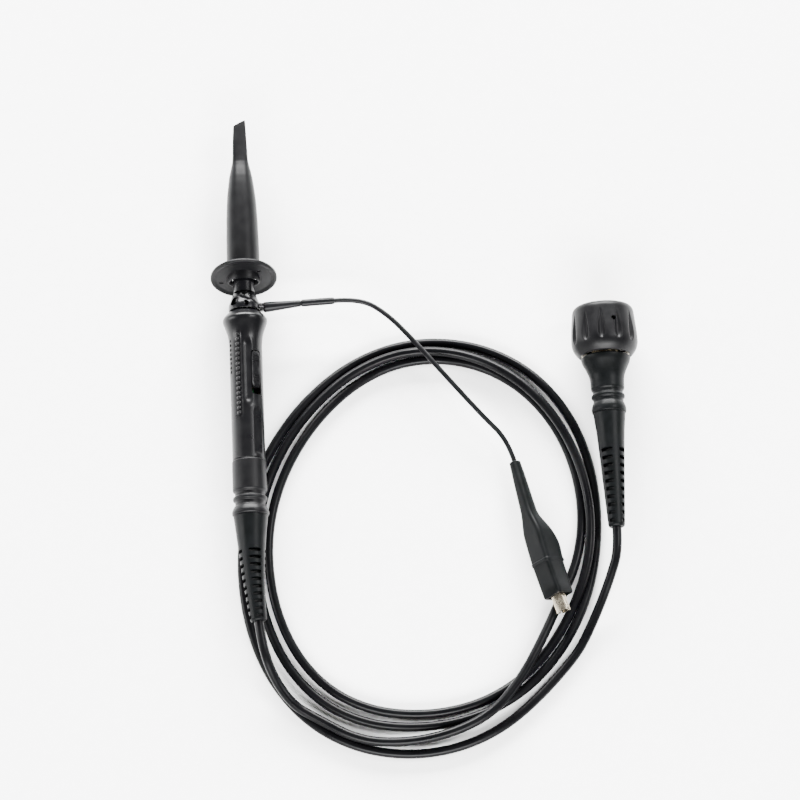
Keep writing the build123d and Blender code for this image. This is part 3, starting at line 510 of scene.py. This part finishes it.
COIL_CENTRE = Vector((51.4, -54.4))
COIL_STRETCH = 1.171  # the coil is longer along y than it is wide
COIL_STEP = 15  # degrees between neighbouring points of a turn
LOWEST_STRAND = 1.42
# The coil's lay: angle in degrees from +x, half width and centre height in millimetres.
COIL_LAY = [
    (232, 55.6, 3.1), (245, 54.9, 3.1), (270, 50.3, 3.5), (292, 48.0, 4.3), (315, 43.0, 4.3),
    (336, 41.8, 2.2), (360, 46.4, 1.4), (405, 50.7, 1.4), (450, 49.1, 1.4), (495, 45.6, 1.4),
    (540, 46.5, 1.4), (585, 47.6, 1.4), (630, 43.8, 1.4), (675, 44.9, 1.4), (696, 46.2, 1.5),
    (720, 49.2, 3.9), (765, 51.4, 4.25), (810, 51.0, 3.5), (855, 48.9, 2.1), (900, 50.1, 1.4),
    (945, 51.7, 1.4), (990, 47.0, 1.4), (1035, 47.8, 1.4), (1080, 51.0, 1.4), (1125, 55.8, 1.4),
    (1170, 53.6, 1.4), (1215, 51.6, 1.4), (1260, 54.3, 1.4), (1305, 57.8, 1.4), (1350, 53.9, 1.4),
    (1386, 51.4, 1.4),
]


def cubic(start, end, leaving, arriving, t):
    """Smooth passage from start to end as t goes from 0 to 1, with these slopes at its ends."""
    return (
        start * (2 * t**3 - 3 * t**2 + 1)
        + leaving * (t**3 - 2 * t**2 + t)
        + end * (3 * t**2 - 2 * t**3)
        + arriving * (t**3 - t**2)
    )


def coil_points():
    """Turns of the cable's coil, in metres, worked out from its lay."""
    points = []
    first, last = COIL_LAY[0][0], COIL_LAY[-1][0]
    count = round((last - first) / COIL_STEP)
    for step in range(count + 1):
        angle = first + (last - first) * step / count
        row = max(i for i in range(len(COIL_LAY) - 1) if COIL_LAY[i][0] <= angle)
        before, here, after = COIL_LAY[max(0, row - 1)], COIL_LAY[row], COIL_LAY[row + 1]
        beyond = COIL_LAY[min(len(COIL_LAY) - 1, row + 2)]
        span = after[0] - here[0]
        t = (angle - here[0]) / span
        leaving = (after[1] - before[1]) / max(1, after[0] - before[0]) * span
        arriving = (beyond[1] - here[1]) / max(1, beyond[0] - here[0]) * span
        reach = cubic(here[1], after[1], leaving, arriving, t) / cos(radians(COIL_STEP / 2))
        height = cubic(here[2], after[2], 0.0, 0.0, t)
        x = COIL_CENTRE.x + reach * cos(radians(angle))
        y = COIL_CENTRE.y + reach * COIL_STRETCH * sin(radians(angle))
        points.append(Vector((x, y, max(height, LOWEST_STRAND))) * MM)
    return points


cable_route = [
    relief_mouth,
    relief_mouth + relief_back * 8.4 * MM,
    Vector((0.0056, -0.0951, 0.0056)),
    Vector((0.0108, -0.1024, 0.0036)),
]
cable_route += coil_points()
cable_route += [
    Vector((0.0942, -0.0905, 0.00145)),
    Vector((0.0984, -0.0835, 0.0018)),
    Vector((0.1028, -0.0745, 0.0042)),
    Vector((0.1059, -0.0672, 0.0076)),
    plug_mouth - plug_ahead * 7.0 * MM,
    plug_mouth,
]
cable = cord_curve("cable", cable_route, CABLE_DIAMETER, cable_jacket)

LEAD_START = Vector((0.0056, 0.0189, AXIS_HEIGHT))
LEAD_JOIN = Vector((0.0170, 0.0198, AXIS_HEIGHT))
LEAD_END = Vector((0.0270, 0.02035, AXIS_HEIGHT - 0.0003))
sleeve_heading = (LEAD_END - LEAD_JOIN).normalized()
wire_route = [
    LEAD_END,
    LEAD_END + sleeve_heading * 7.8 * MM,
    Vector((0.0426, 0.0158, 0.0089)),
    Vector((0.0502, 0.0074, 0.0084)),
    Vector((0.0604, -0.0050, 0.0074)),
    Vector((0.0702, -0.0164, 0.0057)),
    CLIP_TAIL - clip_ahead * 7.3 * MM,
    CLIP_TAIL,
]
ground_wire = cord_curve("ground_wire_jacket", wire_route, WIRE_DIAMETER, lead_jacket)


# ---- hook tip ---------------------------------------------------------------------------------------
SLEEVE_SEGMENTS = 96
# The hook sleeve's sections: station, half width, half height, squareness.
SLEEVE_SECTIONS = [
    (27.5, 4.92, 4.92, 2.0), (31.0, 4.94, 4.94, 2.0), (36.0, 4.92, 4.92, 2.0), (41.0, 4.86, 4.86, 2.0),
    (46.0, 4.74, 4.74, 2.0), (50.7, 4.54, 4.54, 2.0), (54.5, 4.26, 4.26, 2.0), (57.9, 3.86, 3.86, 2.0),
    (60.2, 3.54, 3.46, 2.02), (62.2, 3.12, 2.94, 2.1), (63.8, 2.74, 2.46, 2.3), (65.1, 2.46, 2.12, 2.8),
    (66.6, 2.32, 1.98, 3.6), (69.0, 2.24, 1.84, 4.6), (72.0, 2.12, 1.68, 5.4), (75.0, 2.00, 1.52, 5.8),
    (77.6, 1.88, 1.38, 6.0), (78.3, 1.84, 1.32, 5.6), (78.46, 1.74, 1.18, 4.6),
]
# Its bore and rear rim, from the inside out: station, radius.
SLEEVE_BORE = [
    (53.6, 0.4), (54.0, 3.42), (45.0, 3.42), (31.2, 3.42), (30.4, 4.2), (27.3, 4.3), (26.9, 4.5),
    (26.9, 4.78),
]
BLADE_START = 72.0
BLADE_LENGTH = 6.4
BLADE_RIGHT = 1.8
BLADE_SLANT = 0.5  # how far the blade's left side falls back, for each millimetre across


def sleeve_rings():
    """Rings of the hook sleeve from its bore to its slanted blade."""
    rings = []
    for station, radius in SLEEVE_BORE:
        rings.append(oval((0, station, 0), radius, radius, 2.0, SLEEVE_SEGMENTS))
    for row, (station, half_width, half_height, squareness) in enumerate(SLEEVE_SECTIONS[:-1]):
        after = SLEEVE_SECTIONS[row + 1]
        for step in range(4):
            t = step / 4
            sizes = [a + (b - a) * t for a, b in zip((station, half_width, half_height, squareness), after)]
            rings.append(oval((0, sizes[0], 0), *sizes[1:], SLEEVE_SEGMENTS))
    last = SLEEVE_SECTIONS[-1]
    rings.append(oval((0, last[0], 0), *last[1:], SLEEVE_SEGMENTS))
    rings.append(oval((0, last[0] + 0.03, 0), last[1] - 0.3, last[2] - 0.3, 3.0, SLEEVE_SEGMENTS))
    for ring in rings:
        for point in ring:
            lean = smooth_step((point.y - BLADE_START) / BLADE_LENGTH)
            point.y -= lean * BLADE_SLANT * max(0.0, BLADE_RIGHT - point.x)
    return rings


FLANGE_STATION = 28.5
FLANGE_RAKE = -15


def on_flange(piece):
    """Carries a piece shaped about the origin to the raked flange."""
    return moved(piece, (FLANGE_RAKE, 0, 0), (0, FLANGE_STATION, 0))


hook_sleeve = skin("hook_sleeve_shell", sleeve_rings())
flange_outline = eased(
    [
        (0.55, 4.45, 0), (0.55, 8.6, 0.5), (0.62, 9.0, 0.3), (0.55, 10.0, 0.5), (-0.55, 10.0, 0.5),
        (-0.5, 9.2, 0.4), (-0.2, 8.4, 0.4), (-0.42, 4.9, 0.3), (-0.42, 4.45, 0),
    ]
)
carve(hook_sleeve, on_flange(turned("flange", flange_outline, 128)), "UNION")
dimple_outline = eased([(-0.5, 0.05, 0), (-0.5, 0.75, 0.2), (0.5, 0.75, 0.2), (0.5, 0.05, 0)])
carve(hook_sleeve, on_flange(moved(turned("dimple", dimple_outline, 24), to=(-6.8, -0.55, -1.9))))
notch = moved(block("notch", (1.1, 0.6, 1.0), 4.0, 0.15), (90, 0, 0), (4.6, 0.2, 3.6))
carve(hook_sleeve, on_flange(notch))
for side in (-1, 1):
    key_slot = moved(block("key_slot", (1.0, 1.5, 2.4), 5.0, 0.2), (90, 0, 0), (side * 3.2, 31.0, -2.9))
    carve(hook_sleeve, key_slot)
hook_slot = moved(block("hook_slot", (5.2, 9.0, 1.1), 8.0, 0.12), to=(1.75, 78.4, -0.55))
carve(hook_sleeve, hook_slot)
present(hook_sleeve, PROBE, textured_abs, "hook_grip", "black_abs", "hook_sleeve")

# The spring keeps the frame's own coil, copied as it is; its mesh is already in metres.
spring_coil = bpy.data.objects.new("spring_coil", frame["nodes"]["hook_spring"].data.copy())
bpy.context.scene.collection.objects.link(spring_coil)
present(spring_coil, Matrix.Identity(4), spring_wire, "hook_tip", "spring_steel", "hook_spring")
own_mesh(spring_coil)

# ---- handle -----------------------------------------------------------------------------------------
HANDLE_RADIUS = 4.92
HANDLE_REAR = -29.0
SWITCH_ROLL = 39.0
GROOVE_MIDDLE = -2.1
GROOVE_HALF_WIDTH = 1.4
GROOVE_HALF_LENGTH = 9.6
GROOVE_DEPTH = 0.4
GROOVE_LIP = 0.05
VALLEY_ROLL = -19.5
VALLEY_DEPTH = 0.16
VALLEY_HALF_WIDTH = 0.42
RECESS_FRONT = 4.4
RECESS_LENGTH = 13.8
SLIDER_FRONT = 4.15
SLIDER_LENGTH = 11.3
PANEL_FRONT = -13.2
PANEL_REAR = -27.6
PANEL_HEIGHT = 4.70
NOTCH_ROLL = -86
NOTCH_STATION = -12.0
NOTCH_DEPTH = 0.45


def handle_surface(station, radius, angle):
    """Thumb groove, ridge valley, flat panel and side notch of the handle's outside."""
    if radius < 4.4 or station > 12:  # the bore and the front shoulder stay plain
        return radius
    angle = (angle + pi) % (2 * pi) - pi
    across = radius * (angle - asin(0.5 / HANDLE_RADIUS))
    along = max(0.0, abs(station - GROOVE_MIDDLE) - (GROOVE_HALF_LENGTH - GROOVE_HALF_WIDTH))
    edge = hypot(across, along * 0.7) - GROOVE_HALF_WIDTH
    reach = radius - GROOVE_DEPTH * smooth_step(-edge / 1.2)
    reach += GROOVE_LIP * exp(-(((edge - 0.3) / 0.3) ** 2)) * smooth_step((9.5 - station) / 2)
    valley = radius * (angle - radians(VALLEY_ROLL))
    span = smooth_step((11.0 - station) / 1.5) * smooth_step((station + 17.0) / 1.5)
    reach -= VALLEY_DEPTH * span * exp(-((valley / VALLEY_HALF_WIDTH) ** 2))
    panel = angle - radians(SWITCH_ROLL)
    arch = PANEL_FRONT - 1.6 * (HANDLE_RADIUS * panel / 1.5) ** 2
    if PANEL_REAR <= station <= arch and abs(panel) < 0.5:
        reach = min(reach, PANEL_HEIGHT / cos(panel))
    notch_side = hypot(radius * (angle - radians(NOTCH_ROLL)) / 0.8, (station - NOTCH_STATION) / 0.9)
    reach -= NOTCH_DEPTH * smooth_step((1.25 - notch_side) / 0.35)
    return reach


handle_outline = eased(
    [
        (17.4, 2.56, 0.1), (17.4, 4.55, 0.25), (17.05, 4.85, 0.2), (16.75, 5.35, 0.5), (15.3, 6.62, 0.9),
        (14.2, 6.66, 0.8), (10.9, 5.42, 2.6), (8.0, HANDLE_RADIUS, 2.4), (-28.75, HANDLE_RADIUS, 0.0),
        (HANDLE_REAR, 4.72, 0.1), (HANDLE_REAR, 3.9, 0.0), (13.0, 3.9, 0.0), (13.0, 2.56, 0.0),
    ],
    8,
)
handle = turned("handle_body", finer(handle_outline, 0.28, 14.2, -28.9), 216, handle_surface)
recess = block("recess", (3.5, RECESS_LENGTH, 3.0), 7.0, 0.05)
moved(recess, to=(0, RECESS_FRONT - RECESS_LENGTH / 2, 3.2))
carve(handle, moved(recess, (0, SWITCH_ROLL, 0)))
present(handle, PROBE, polished_abs, "probe", "black_abs", "handle_shell", angle=40)


def ridge_tooth(name, width, length, height):
    """One tooth of the finger ridge: steep on the right, sloping down to the left."""
    rings = []
    for share, rise in [(-1.0, 0.0), (-0.55, 0.62), (0.1, 1.0), (0.6, 0.92), (1.0, 0.0)]:
        half_length = length / 2 * (0.72 + 0.28 * rise)
        rings.append(
            oval((share * width / 2, 0, 0.0), half_length, 0.25 + height * rise, 2.6, 14, across=(0, 1, 0))
        )
    return skin(name, rings)


tooth = ridge_tooth("ridge_teeth", 1.25, 1.1, 0.34)
ridge = arranged(tooth, polished_abs, 17, 9.4, -1.53, HANDLE_RADIUS - 0.06, -29.0)
present(ridge, PROBE, polished_abs, "probe", "black_abs")
side_tooth = ridge_tooth("side_ridge_teeth", 1.1, 1.0, 0.2)
side_ridge = arranged(side_tooth, polished_abs, 8, 8.0, -1.4, HANDLE_RADIUS - 0.12, -68.0)
present(side_ridge, PROBE, polished_abs, "probe", "black_abs")

slider = block("slider_pad", (3.1, SLIDER_LENGTH, 1.9), 5.0, 0.3)
moved(slider, to=(0, SLIDER_FRONT - SLIDER_LENGTH / 2, 2.95))
for front_cut in (2.6, -3.6):
    grip_cut = block("grip_cut", (2.3, 0.3, 0.6), 5.0, 0.08)
    carve(slider, arranged(grip_cut, polished_abs, 3, front_cut, -0.75, 4.7))
moved(slider, (0, SWITCH_ROLL, 0))
present(slider, PROBE, polished_abs, "slide_switch", "black_abs", "attenuation_slider")

COLLAR_REAR = -46.0
collar_outline = eased(
    [
        (HANDLE_REAR, 3.9, 0), (HANDLE_REAR, 4.75, 0.1), (-29.3, 5.12, 0.25), (-38.4, 5.16, 0.4),
        (-38.9, 4.5, 0.3), (-40.1, 4.5, 0.3), (-40.4, 5.14, 0.35), (-41.3, 5.14, 0.35), (-41.7, 4.5, 0.3),
        (-42.9, 4.5, 0.3), (-43.4, 4.95, 0.4), (-44.7, 5.5, 0.5), (-45.4, 5.56, 0.4),
        (COLLAR_REAR, 5.2, 0.3), (COLLAR_REAR, 3.9, 0),
    ],
    6,
)
collar = turned("collar", collar_outline, 128)
collar_mark = moved(block("collar_mark", (0.9, 0.55, 1.0), 4.0, 0.1), (0, -84, 0))
carve(collar, arranged(collar_mark, soft_pvc, 4, -31.6, -1.5, 4.9, -84.0))
present(collar, PROBE, textured_abs, "probe", "black_abs", "tail_collar")


def relief(name, start, head, bore, end_radius, roll, first_slot):
    """Straight slotted strain relief, before it is bent: start is its front station."""
    taper = start - 4.0
    rear = start - RELIEF_LENGTH
    outline = eased(
        [
            (start, bore, 0), (start, head, 0.3), (start - 1.8, head - 0.22, 1.0),
            (start - 5.0, head - 0.62, 2.0), (taper - 9.0, 3.78 + (head - 5.15) * 0.4, 3.0),
            (taper - 18.0, 3.12, 3.0), (start - 31.8, end_radius, 0.5), (rear, end_radius - 0.35, 0.25),
            (rear, bore, 0),
        ],
        6,
    )
    body = turned(name, finer(outline, 0.7, start, rear - 0.05), 96)
    slot = block("slot", (3.7, 1.15, 3.4), 5.0, 0.05)
    cutters = arranged(slot, soft_pvc, 10, first_slot, -2.2, 2.2, roll, 4, 90.0, -0.03, 0.045)
    return carve(body, cutters)


handle_relief = relief("handle_relief", COLLAR_REAR, 5.15, 1.42, 2.5, 14.0, -57.1)
for vertex in handle_relief.data.vertices:
    vertex.co = aside(vertex.co)
present(handle_relief, PROBE, soft_pvc, "probe", "soft_pvc", "handle_strain_relief")

# ---- ground lead ------------------------------------------------------------------------------------
ring_outline = eased(
    [
        (23.3, 2.6, 0.1), (23.3, 3.35, 0.3), (21.6, 3.95, 0.5), (19.4, 4.76, 0.5), (17.75, 4.78, 0.3),
        (17.75, 2.6, 0),
    ],
    6,
)
clip_ring = turned("clip_ring", ring_outline, 96)
# Its two windows: plan, station and roll.
for plan, station, roll in [((2.6, 2.6, 4.0), 20.1, -44), ((1.5, 1.9, 4.0), 19.3, 8)]:
    window = moved(block("window", plan, 3.0, 0.2), to=(0, station, 3.0))
    carve(clip_ring, moved(window, (0, roll, 0)))
# The raised band winds about the ring from the upper left, and thickens towards the lug.
BAND_STEPS = 24
band_rings = []
for step in range(BAND_STEPS + 1):
    t = step / BAND_STEPS
    angle = radians(-62 + 148 * t)
    station = 22.3 - 3.2 * smooth_step(t)
    outward = Vector((sin(angle), 0, cos(angle)))
    centre = outward * (3.62 + 1.0 * t) + Vector((0, station, 0))
    thickness = 0.42 * sin(pi * min(1, max(0.06, t * 1.6)) / 2)
    band_rings.append(oval(centre, 0.75, thickness, 2.6, 20, (0, 1, 0), outward))
carve(clip_ring, skin("band", band_rings), "UNION")
lug_rings = []
for x, half_length, half_height in [(3.4, 1.45, 2.0), (4.4, 1.4, 1.9), (5.2, 1.3, 1.6), (5.9, 1.12, 1.28)]:
    lug_rings.append(oval((x, 18.93, 0), half_length * 0.92, half_height, 3.0, 28, across=(0, 1, 0)))
carve(clip_ring, skin("lug", lug_rings), "UNION")
carve(clip_ring, plug_of("bore_again", 2.58, 26, 14, 64))
present(clip_ring, PROBE, glossy_abs, "ground_lead", "gloss_abs", "ground_clip_ring")


def sheath(name, start, end, sections, segments=28):
    """Round sleeve from one point to another, in metres, of (share along, radius in mm) sections."""
    heading = (end - start).normalized()
    across = heading.cross(Vector((0, 0, 1))).normalized()
    up = across.cross(heading)
    rings = []
    for share, radius in sections:
        centre = (start + (end - start) * share) / MM
        rings.append(oval(centre, radius, radius, 2.0, segments, across, up))
    return skin(name, rings)


METRES = Matrix.Scale(MM, 4)
root_sections = [(0.0, 1.3), (0.04, 1.6), (0.25, 1.5), (0.5, 1.32), (0.75, 1.14), (0.97, 1.0), (1.0, 0.8)]
root = sheath("lead_root_sheath", LEAD_START, LEAD_JOIN, root_sections)
present(root, METRES, lead_jacket, "ground_lead", "silicone", "lead_root")
sleeve_sections = [
    (0.0, 0.9), (0.03, 1.08), (0.12, 1.13), (0.4, 1.1), (0.6, 1.12), (0.9, 1.08), (0.98, 0.98), (1.0, 0.72),
]
shrink = sheath("lead_shrink_sleeve", LEAD_JOIN, LEAD_END, sleeve_sections)
present(shrink, METRES, lead_jacket, "ground_lead", "silicone", "lead_sleeve")

# ---- alligator clip ---------------------------------------------------------------------------------
# The boot's sections: station, back side, thumb side, half thickness, squareness.
BOOT_SECTIONS = [
    (0.0, -1.6, 1.5, 1.15, 2.0), (0.25, -1.95, 1.85, 1.45, 2.2), (4.0, -2.35, 1.8, 1.6, 2.5),
    (9.0, -2.85, 1.5, 1.75, 2.9), (14.0, -3.3, 1.15, 1.9, 3.3), (16.6, -3.55, 1.0, 2.0, 3.6),
    (18.4, -3.7, 1.15, 2.3, 3.9), (19.8, -3.8, 1.6, 2.65, 4.4), (21.6, -3.92, 2.5, 3.05, 5.2),
    (23.4, -4.04, 3.35, 3.34, 5.8), (25.6, -4.2, 4.25, 3.4, 6.2), (27.0, -4.3, 4.6, 3.4, 6.2),
    (28.3, -4.38, 4.65, 3.4, 6.2), (30.0, -4.46, 4.4, 3.4, 6.6), (31.9, -4.52, 4.05, 3.4, 6.6),
    (32.4, -4.54, 3.98, 3.4, 6.8), (32.65, -4.74, 4.2, 3.44, 6.8), (33.35, -4.74, 4.2, 3.44, 6.8),
    (33.6, -4.5, 3.7, 3.36, 6.8), (34.2, -4.46, 3.6, 3.34, 6.8), (38.5, -4.3, 3.42, 3.34, 6.8),
    (43.3, -4.04, 3.2, 3.34, 6.8), (43.7, -3.86, 3.05, 3.2, 6.2),
]
# Its hollow: station, back side, thumb side. The thumb side leaves the moving jaw room to open.
BOOT_HOLLOW = [
    (23.0, -2.4, 1.5), (26.9, -2.65, 3.6), (28.3, -2.75, 3.85), (32.2, -2.9, 3.0), (43.3, -2.6, 2.86),
]
BOOT_SEGMENTS = 72


def boot_ring(station, low, high, half_thickness, squareness):
    """Section of the boot across the clip, from its back side to its thumb side."""
    centre = (station, (low + high) / 2, 0)
    return oval(centre, (high - low) / 2, half_thickness, squareness, BOOT_SEGMENTS, across=(0, 1, 0))


boot_rings = [boot_ring(23.0, -0.8, 0.0, 0.4, 3.0)]
boot_rings += [boot_ring(station, low, high, 2.65, 9.0) for station, low, high in BOOT_HOLLOW]
boot_rings.append(boot_ring(43.7, -2.7, 2.9, 2.75, 8.0))
for row in reversed(range(len(BOOT_SECTIONS))):
    boot_rings.append(boot_ring(*BOOT_SECTIONS[row]))
    if row:
        middle = [(a + b) / 2 for a, b in zip(BOOT_SECTIONS[row], BOOT_SECTIONS[row - 1])]
        boot_rings.append(boot_ring(*middle))
boot = skin("clip_boot_shell", boot_rings)
present(boot, CLIP, soft_pvc, "ground_lead", "soft_pvc", "clip_boot", angle=30)


JAW_EDGE = 0.06
BITE_TEETH = 6
BITE_START = 44.2
BITE_PITCH = 0.78


def jaw_piece(name, node, teeth):
    """The CAD jaw as plated sheet: its teeth cut along the bite, and its edges rolled over."""
    mesh = frame["nodes"][node].data.copy()
    mesh.transform(CLIP.inverted())
    shape = bmesh.new()
    shape.from_mesh(mesh)
    bmesh.ops.remove_doubles(shape, verts=shape.verts, dist=1e-3)
    bmesh.ops.dissolve_limit(shape, angle_limit=radians(2), verts=shape.verts, edges=shape.edges)
    shape.to_mesh(mesh)
    shape.free()
    piece = bpy.data.objects.new(name, mesh)
    bpy.context.scene.collection.objects.link(piece)
    carve(piece, teeth)
    softened = piece.modifiers.new("edges", "BEVEL")
    softened.width = JAW_EDGE
    softened.segments = 2
    softened.limit_method = "ANGLE"
    softened.angle_limit = radians(40)
    return settle(piece)


def bite_notches(name, side):
    """Row of V notches along the bite line, on the thumb side or the back side."""
    outline = [(-0.32, 0), (0.0, side * 0.42), (0.32, 0), (0, -side * 0.3)]
    wedge = skin(name, [[(x, y, z) for x, y in outline] for z in (-3.0, 3.0)])
    moved(wedge, (0, 0, 90))
    row = arranged(wedge, bright_nickel, BITE_TEETH, BITE_START, BITE_PITCH, 0.0)
    return moved(row, (0, 0, -90), (0, side * 0.05, 0))


fixed_jaw = jaw_piece("fixed_jaw_sheet", "clip_fixed_jaw", bite_notches("fixed_bite", -1))
present(fixed_jaw, CLIP, bright_nickel, "ground_lead", "nickel", "clip_fixed_jaw")
moving_jaw = jaw_piece("moving_jaw_sheet", "clip_moving_jaw", bite_notches("moving_bite", 1))
present(moving_jaw, CLIP, bright_nickel, "clip_jaw", "nickel", "clip_moving_jaw")

# ---- BNC plug ---------------------------------------------------------------------------------------
FLUTES = 12
FLUTE_ROLL = -7.0
FLUTE_HALF_WIDTH = 1.35
FLUTE_DEPTH = 0.85
FLUTE_FRONT = 1.6  # how far behind the sleeve's face a flute starts, is widest, and how long its round end is
FLUTE_WIDEST = 9.8
FLUTE_ROUND = 2.3


def flute_surface(station, radius, angle):
    """Teardrop flutes, narrow at the sleeve's front and round at the back."""
    if radius < 8.2:  # the bore and the two faces stay plain
        return radius
    back = -station
    slot_angle = 2 * pi / FLUTES
    offset = (angle - radians(FLUTE_ROLL) + slot_angle / 2) % slot_angle - slot_angle / 2
    if back < FLUTE_WIDEST:
        half = FLUTE_HALF_WIDTH * smooth_step((back - FLUTE_FRONT) / (FLUTE_WIDEST - FLUTE_FRONT)) ** 0.8
    else:
        half = FLUTE_HALF_WIDTH * max(0.0, 1 - ((back - FLUTE_WIDEST) / FLUTE_ROUND) ** 2) ** 0.6
    if half <= 0.02:
        return radius
    share = abs(radius * offset) / half
    return radius - FLUTE_DEPTH * (half / FLUTE_HALF_WIDTH) * smooth_step((1.0 - share) / 0.75)


sleeve_outline = eased(
    [
        (0.0, 7.26, 0.15), (0.0, 7.9, 0.3), (-0.15, 8.5, 0.5), (-1.1, 9.2, 0.8), (-9.0, 9.98, 2.0),
        (-11.7, 9.95, 1.0), (-13.7, 9.2, 1.2), (-15.2, 7.85, 0.4), (-15.2, 7.26, 0.1),
    ],
    7,
)
plug_sleeve = turned("plug_sleeve", finer(sleeve_outline, 0.22, 0.0, -15.1), 288, flute_surface)
pin_hole = moved(plug_of("pin_hole", 0.72, -1.5, 3, 24), (90, 0, 0), (0, -5.9, 9.6))
carve(plug_sleeve, moved(pin_hole, (0, 16, 0)))
present(plug_sleeve, PLUG, textured_abs, "plug_grip", "black_abs", "fluted_sleeve", angle=45)

bell_outline = eased(
    [
        (-15.6, 4.36, 0), (-15.6, 7.15, 0.25), (-15.9, 7.42, 0.3), (-17.0, 7.2, 0.7), (-19.4, 6.0, 1.8),
        (-21.9, 5.1, 1.6), (-25.6, 5.0, 0.4), (-26.1, 4.5, 0.35), (-27.1, 4.5, 0.35), (-27.5, 5.02, 0.4),
        (-28.2, 5.02, 0.4), (-28.7, 4.5, 0.35), (-29.7, 4.52, 0.35), (-30.2, 4.8, 0.4), (-31.4, 5.2, 0.5),
        (-32.4, 5.18, 0.5), (BELL_REAR, 4.95, 0.3), (BELL_REAR, 4.0, 0), (-17.2, 4.0, 0), (-17.2, 4.36, 0),
    ],
    8,
)
bell = turned("bell_shell", bell_outline, 128)
carve(bell, moved(plug_of("trim_hole", 1.3, -8, -3, 32), (90, 0, 0), (0, -19.6, 0)))
present(bell, PLUG, soft_pvc, "probe", "soft_pvc", "bell_housing")
plug_relief = relief("plug_relief", BELL_REAR, 4.85, 1.42, 2.5, -28.0, -43.9)
for vertex in plug_relief.data.vertices:
    vertex.co.y = BELL_REAR + (vertex.co.y - BELL_REAR) * PLUG_RELIEF_LENGTH / RELIEF_LENGTH
present(plug_relief, PLUG, soft_pvc, "probe", "soft_pvc", "bnc_strain_relief")

# ---- pieces kept from the frame ---------------------------------------------------------------------
kept_finishes = {
    glossy_abs: ["hook_carrier"],
    black_nickel: ["hook_wire", "nose_barrel"],
    spring_wire: ["clip_spring", "bnc_spring_washer"],
    bright_nickel: ["coupling_nut", "bnc_body", "clip_pivot_pin", "cable_ferrule"],
    gold_flash: ["hook_socket", "needle_tip", "bnc_center_pin", "switch_contact", "trimmer_screw"],
    ptfe_bead: ["nose_insulator", "bnc_insulator"],
    epoxy_board: ["attenuator_board", "compensation_board"],
    fired_ceramic: ["tip_resistor", "tip_capacitor", "trimmer_body"],
    seal_silicone: ["bnc_gasket"],
    cable_jacket: ["cable_ends"],
}
for finish, names in kept_finishes.items():
    for name in names:
        node = frame["nodes"][name]
        node.data.materials.clear()
        node.data.materials.append(finish)

# ---- the cords and what is on them ------------------------------------------------------------------
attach(cable, "probe")
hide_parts("cable_lead_in", "cable_coil", "cable_lead_out")
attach(ground_wire, "ground_lead")
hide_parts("ground_wire")

# ---- floor and light --------------------------------------------------------------------------------
FLOOR_REACH = 3
FLOOR_LEVEL = -0.0002
floor_mesh = bpy.data.meshes.new("floor")
floor_corners = [(x, y, FLOOR_LEVEL) for x, y in ((-1, -1), (1, -1), (1, 1), (-1, 1))]
floor_mesh.from_pydata(
    [(x * FLOOR_REACH, y * FLOOR_REACH, z) for x, y, z in floor_corners], [], [(0, 1, 2, 3)]
)
floor = bpy.data.objects.new("floor", floor_mesh)
bpy.context.scene.collection.objects.link(floor)
floor_mesh.materials.append(surface("matt_paper", "#f6f6f6", "#f3f3f3", 0.9, 0.02, 1.0, 0.01))


def softbox(name, spot, aim, width, height, power):
    """Soft studio light of so many watts, facing a point."""
    light = bpy.data.lights.new(name, "AREA")
    light.shape = "RECTANGLE"
    light.size = width
    light.size_y = height
    light.energy = power
    lamp = bpy.data.objects.new(name, light)
    towards = (Vector(aim) - Vector(spot)).normalized()
    lamp.matrix_world = Matrix.Translation(spot) @ towards.to_track_quat("-Z", "Y").to_matrix().to_4x4()
    bpy.context.scene.collection.objects.link(lamp)


softbox("back_bank", (0.05, 1.8, 0.8), (0.05, -0.02, 0), 2.2, 0.7, 520)
softbox("front_bank", (0.05, -1.7, 1.1), (0.05, -0.02, 0), 2.2, 0.8, 290)
softbox("left_bank", (-1.4, 0.1, 0.5), (0.04, 0, 0), 0.3, 0.9, 26)
softbox("right_strip", (0.95, 0.2, 1.15), (0.06, -0.02, 0), 0.25, 0.6, 24)

world = bpy.data.worlds.new("studio")
world.use_nodes = True
world.node_tree.nodes["Background"].inputs["Color"].default_value = (1, 1, 1, 1)
world.node_tree.nodes["Background"].inputs["Strength"].default_value = 0.15
bpy.context.scene.world = world
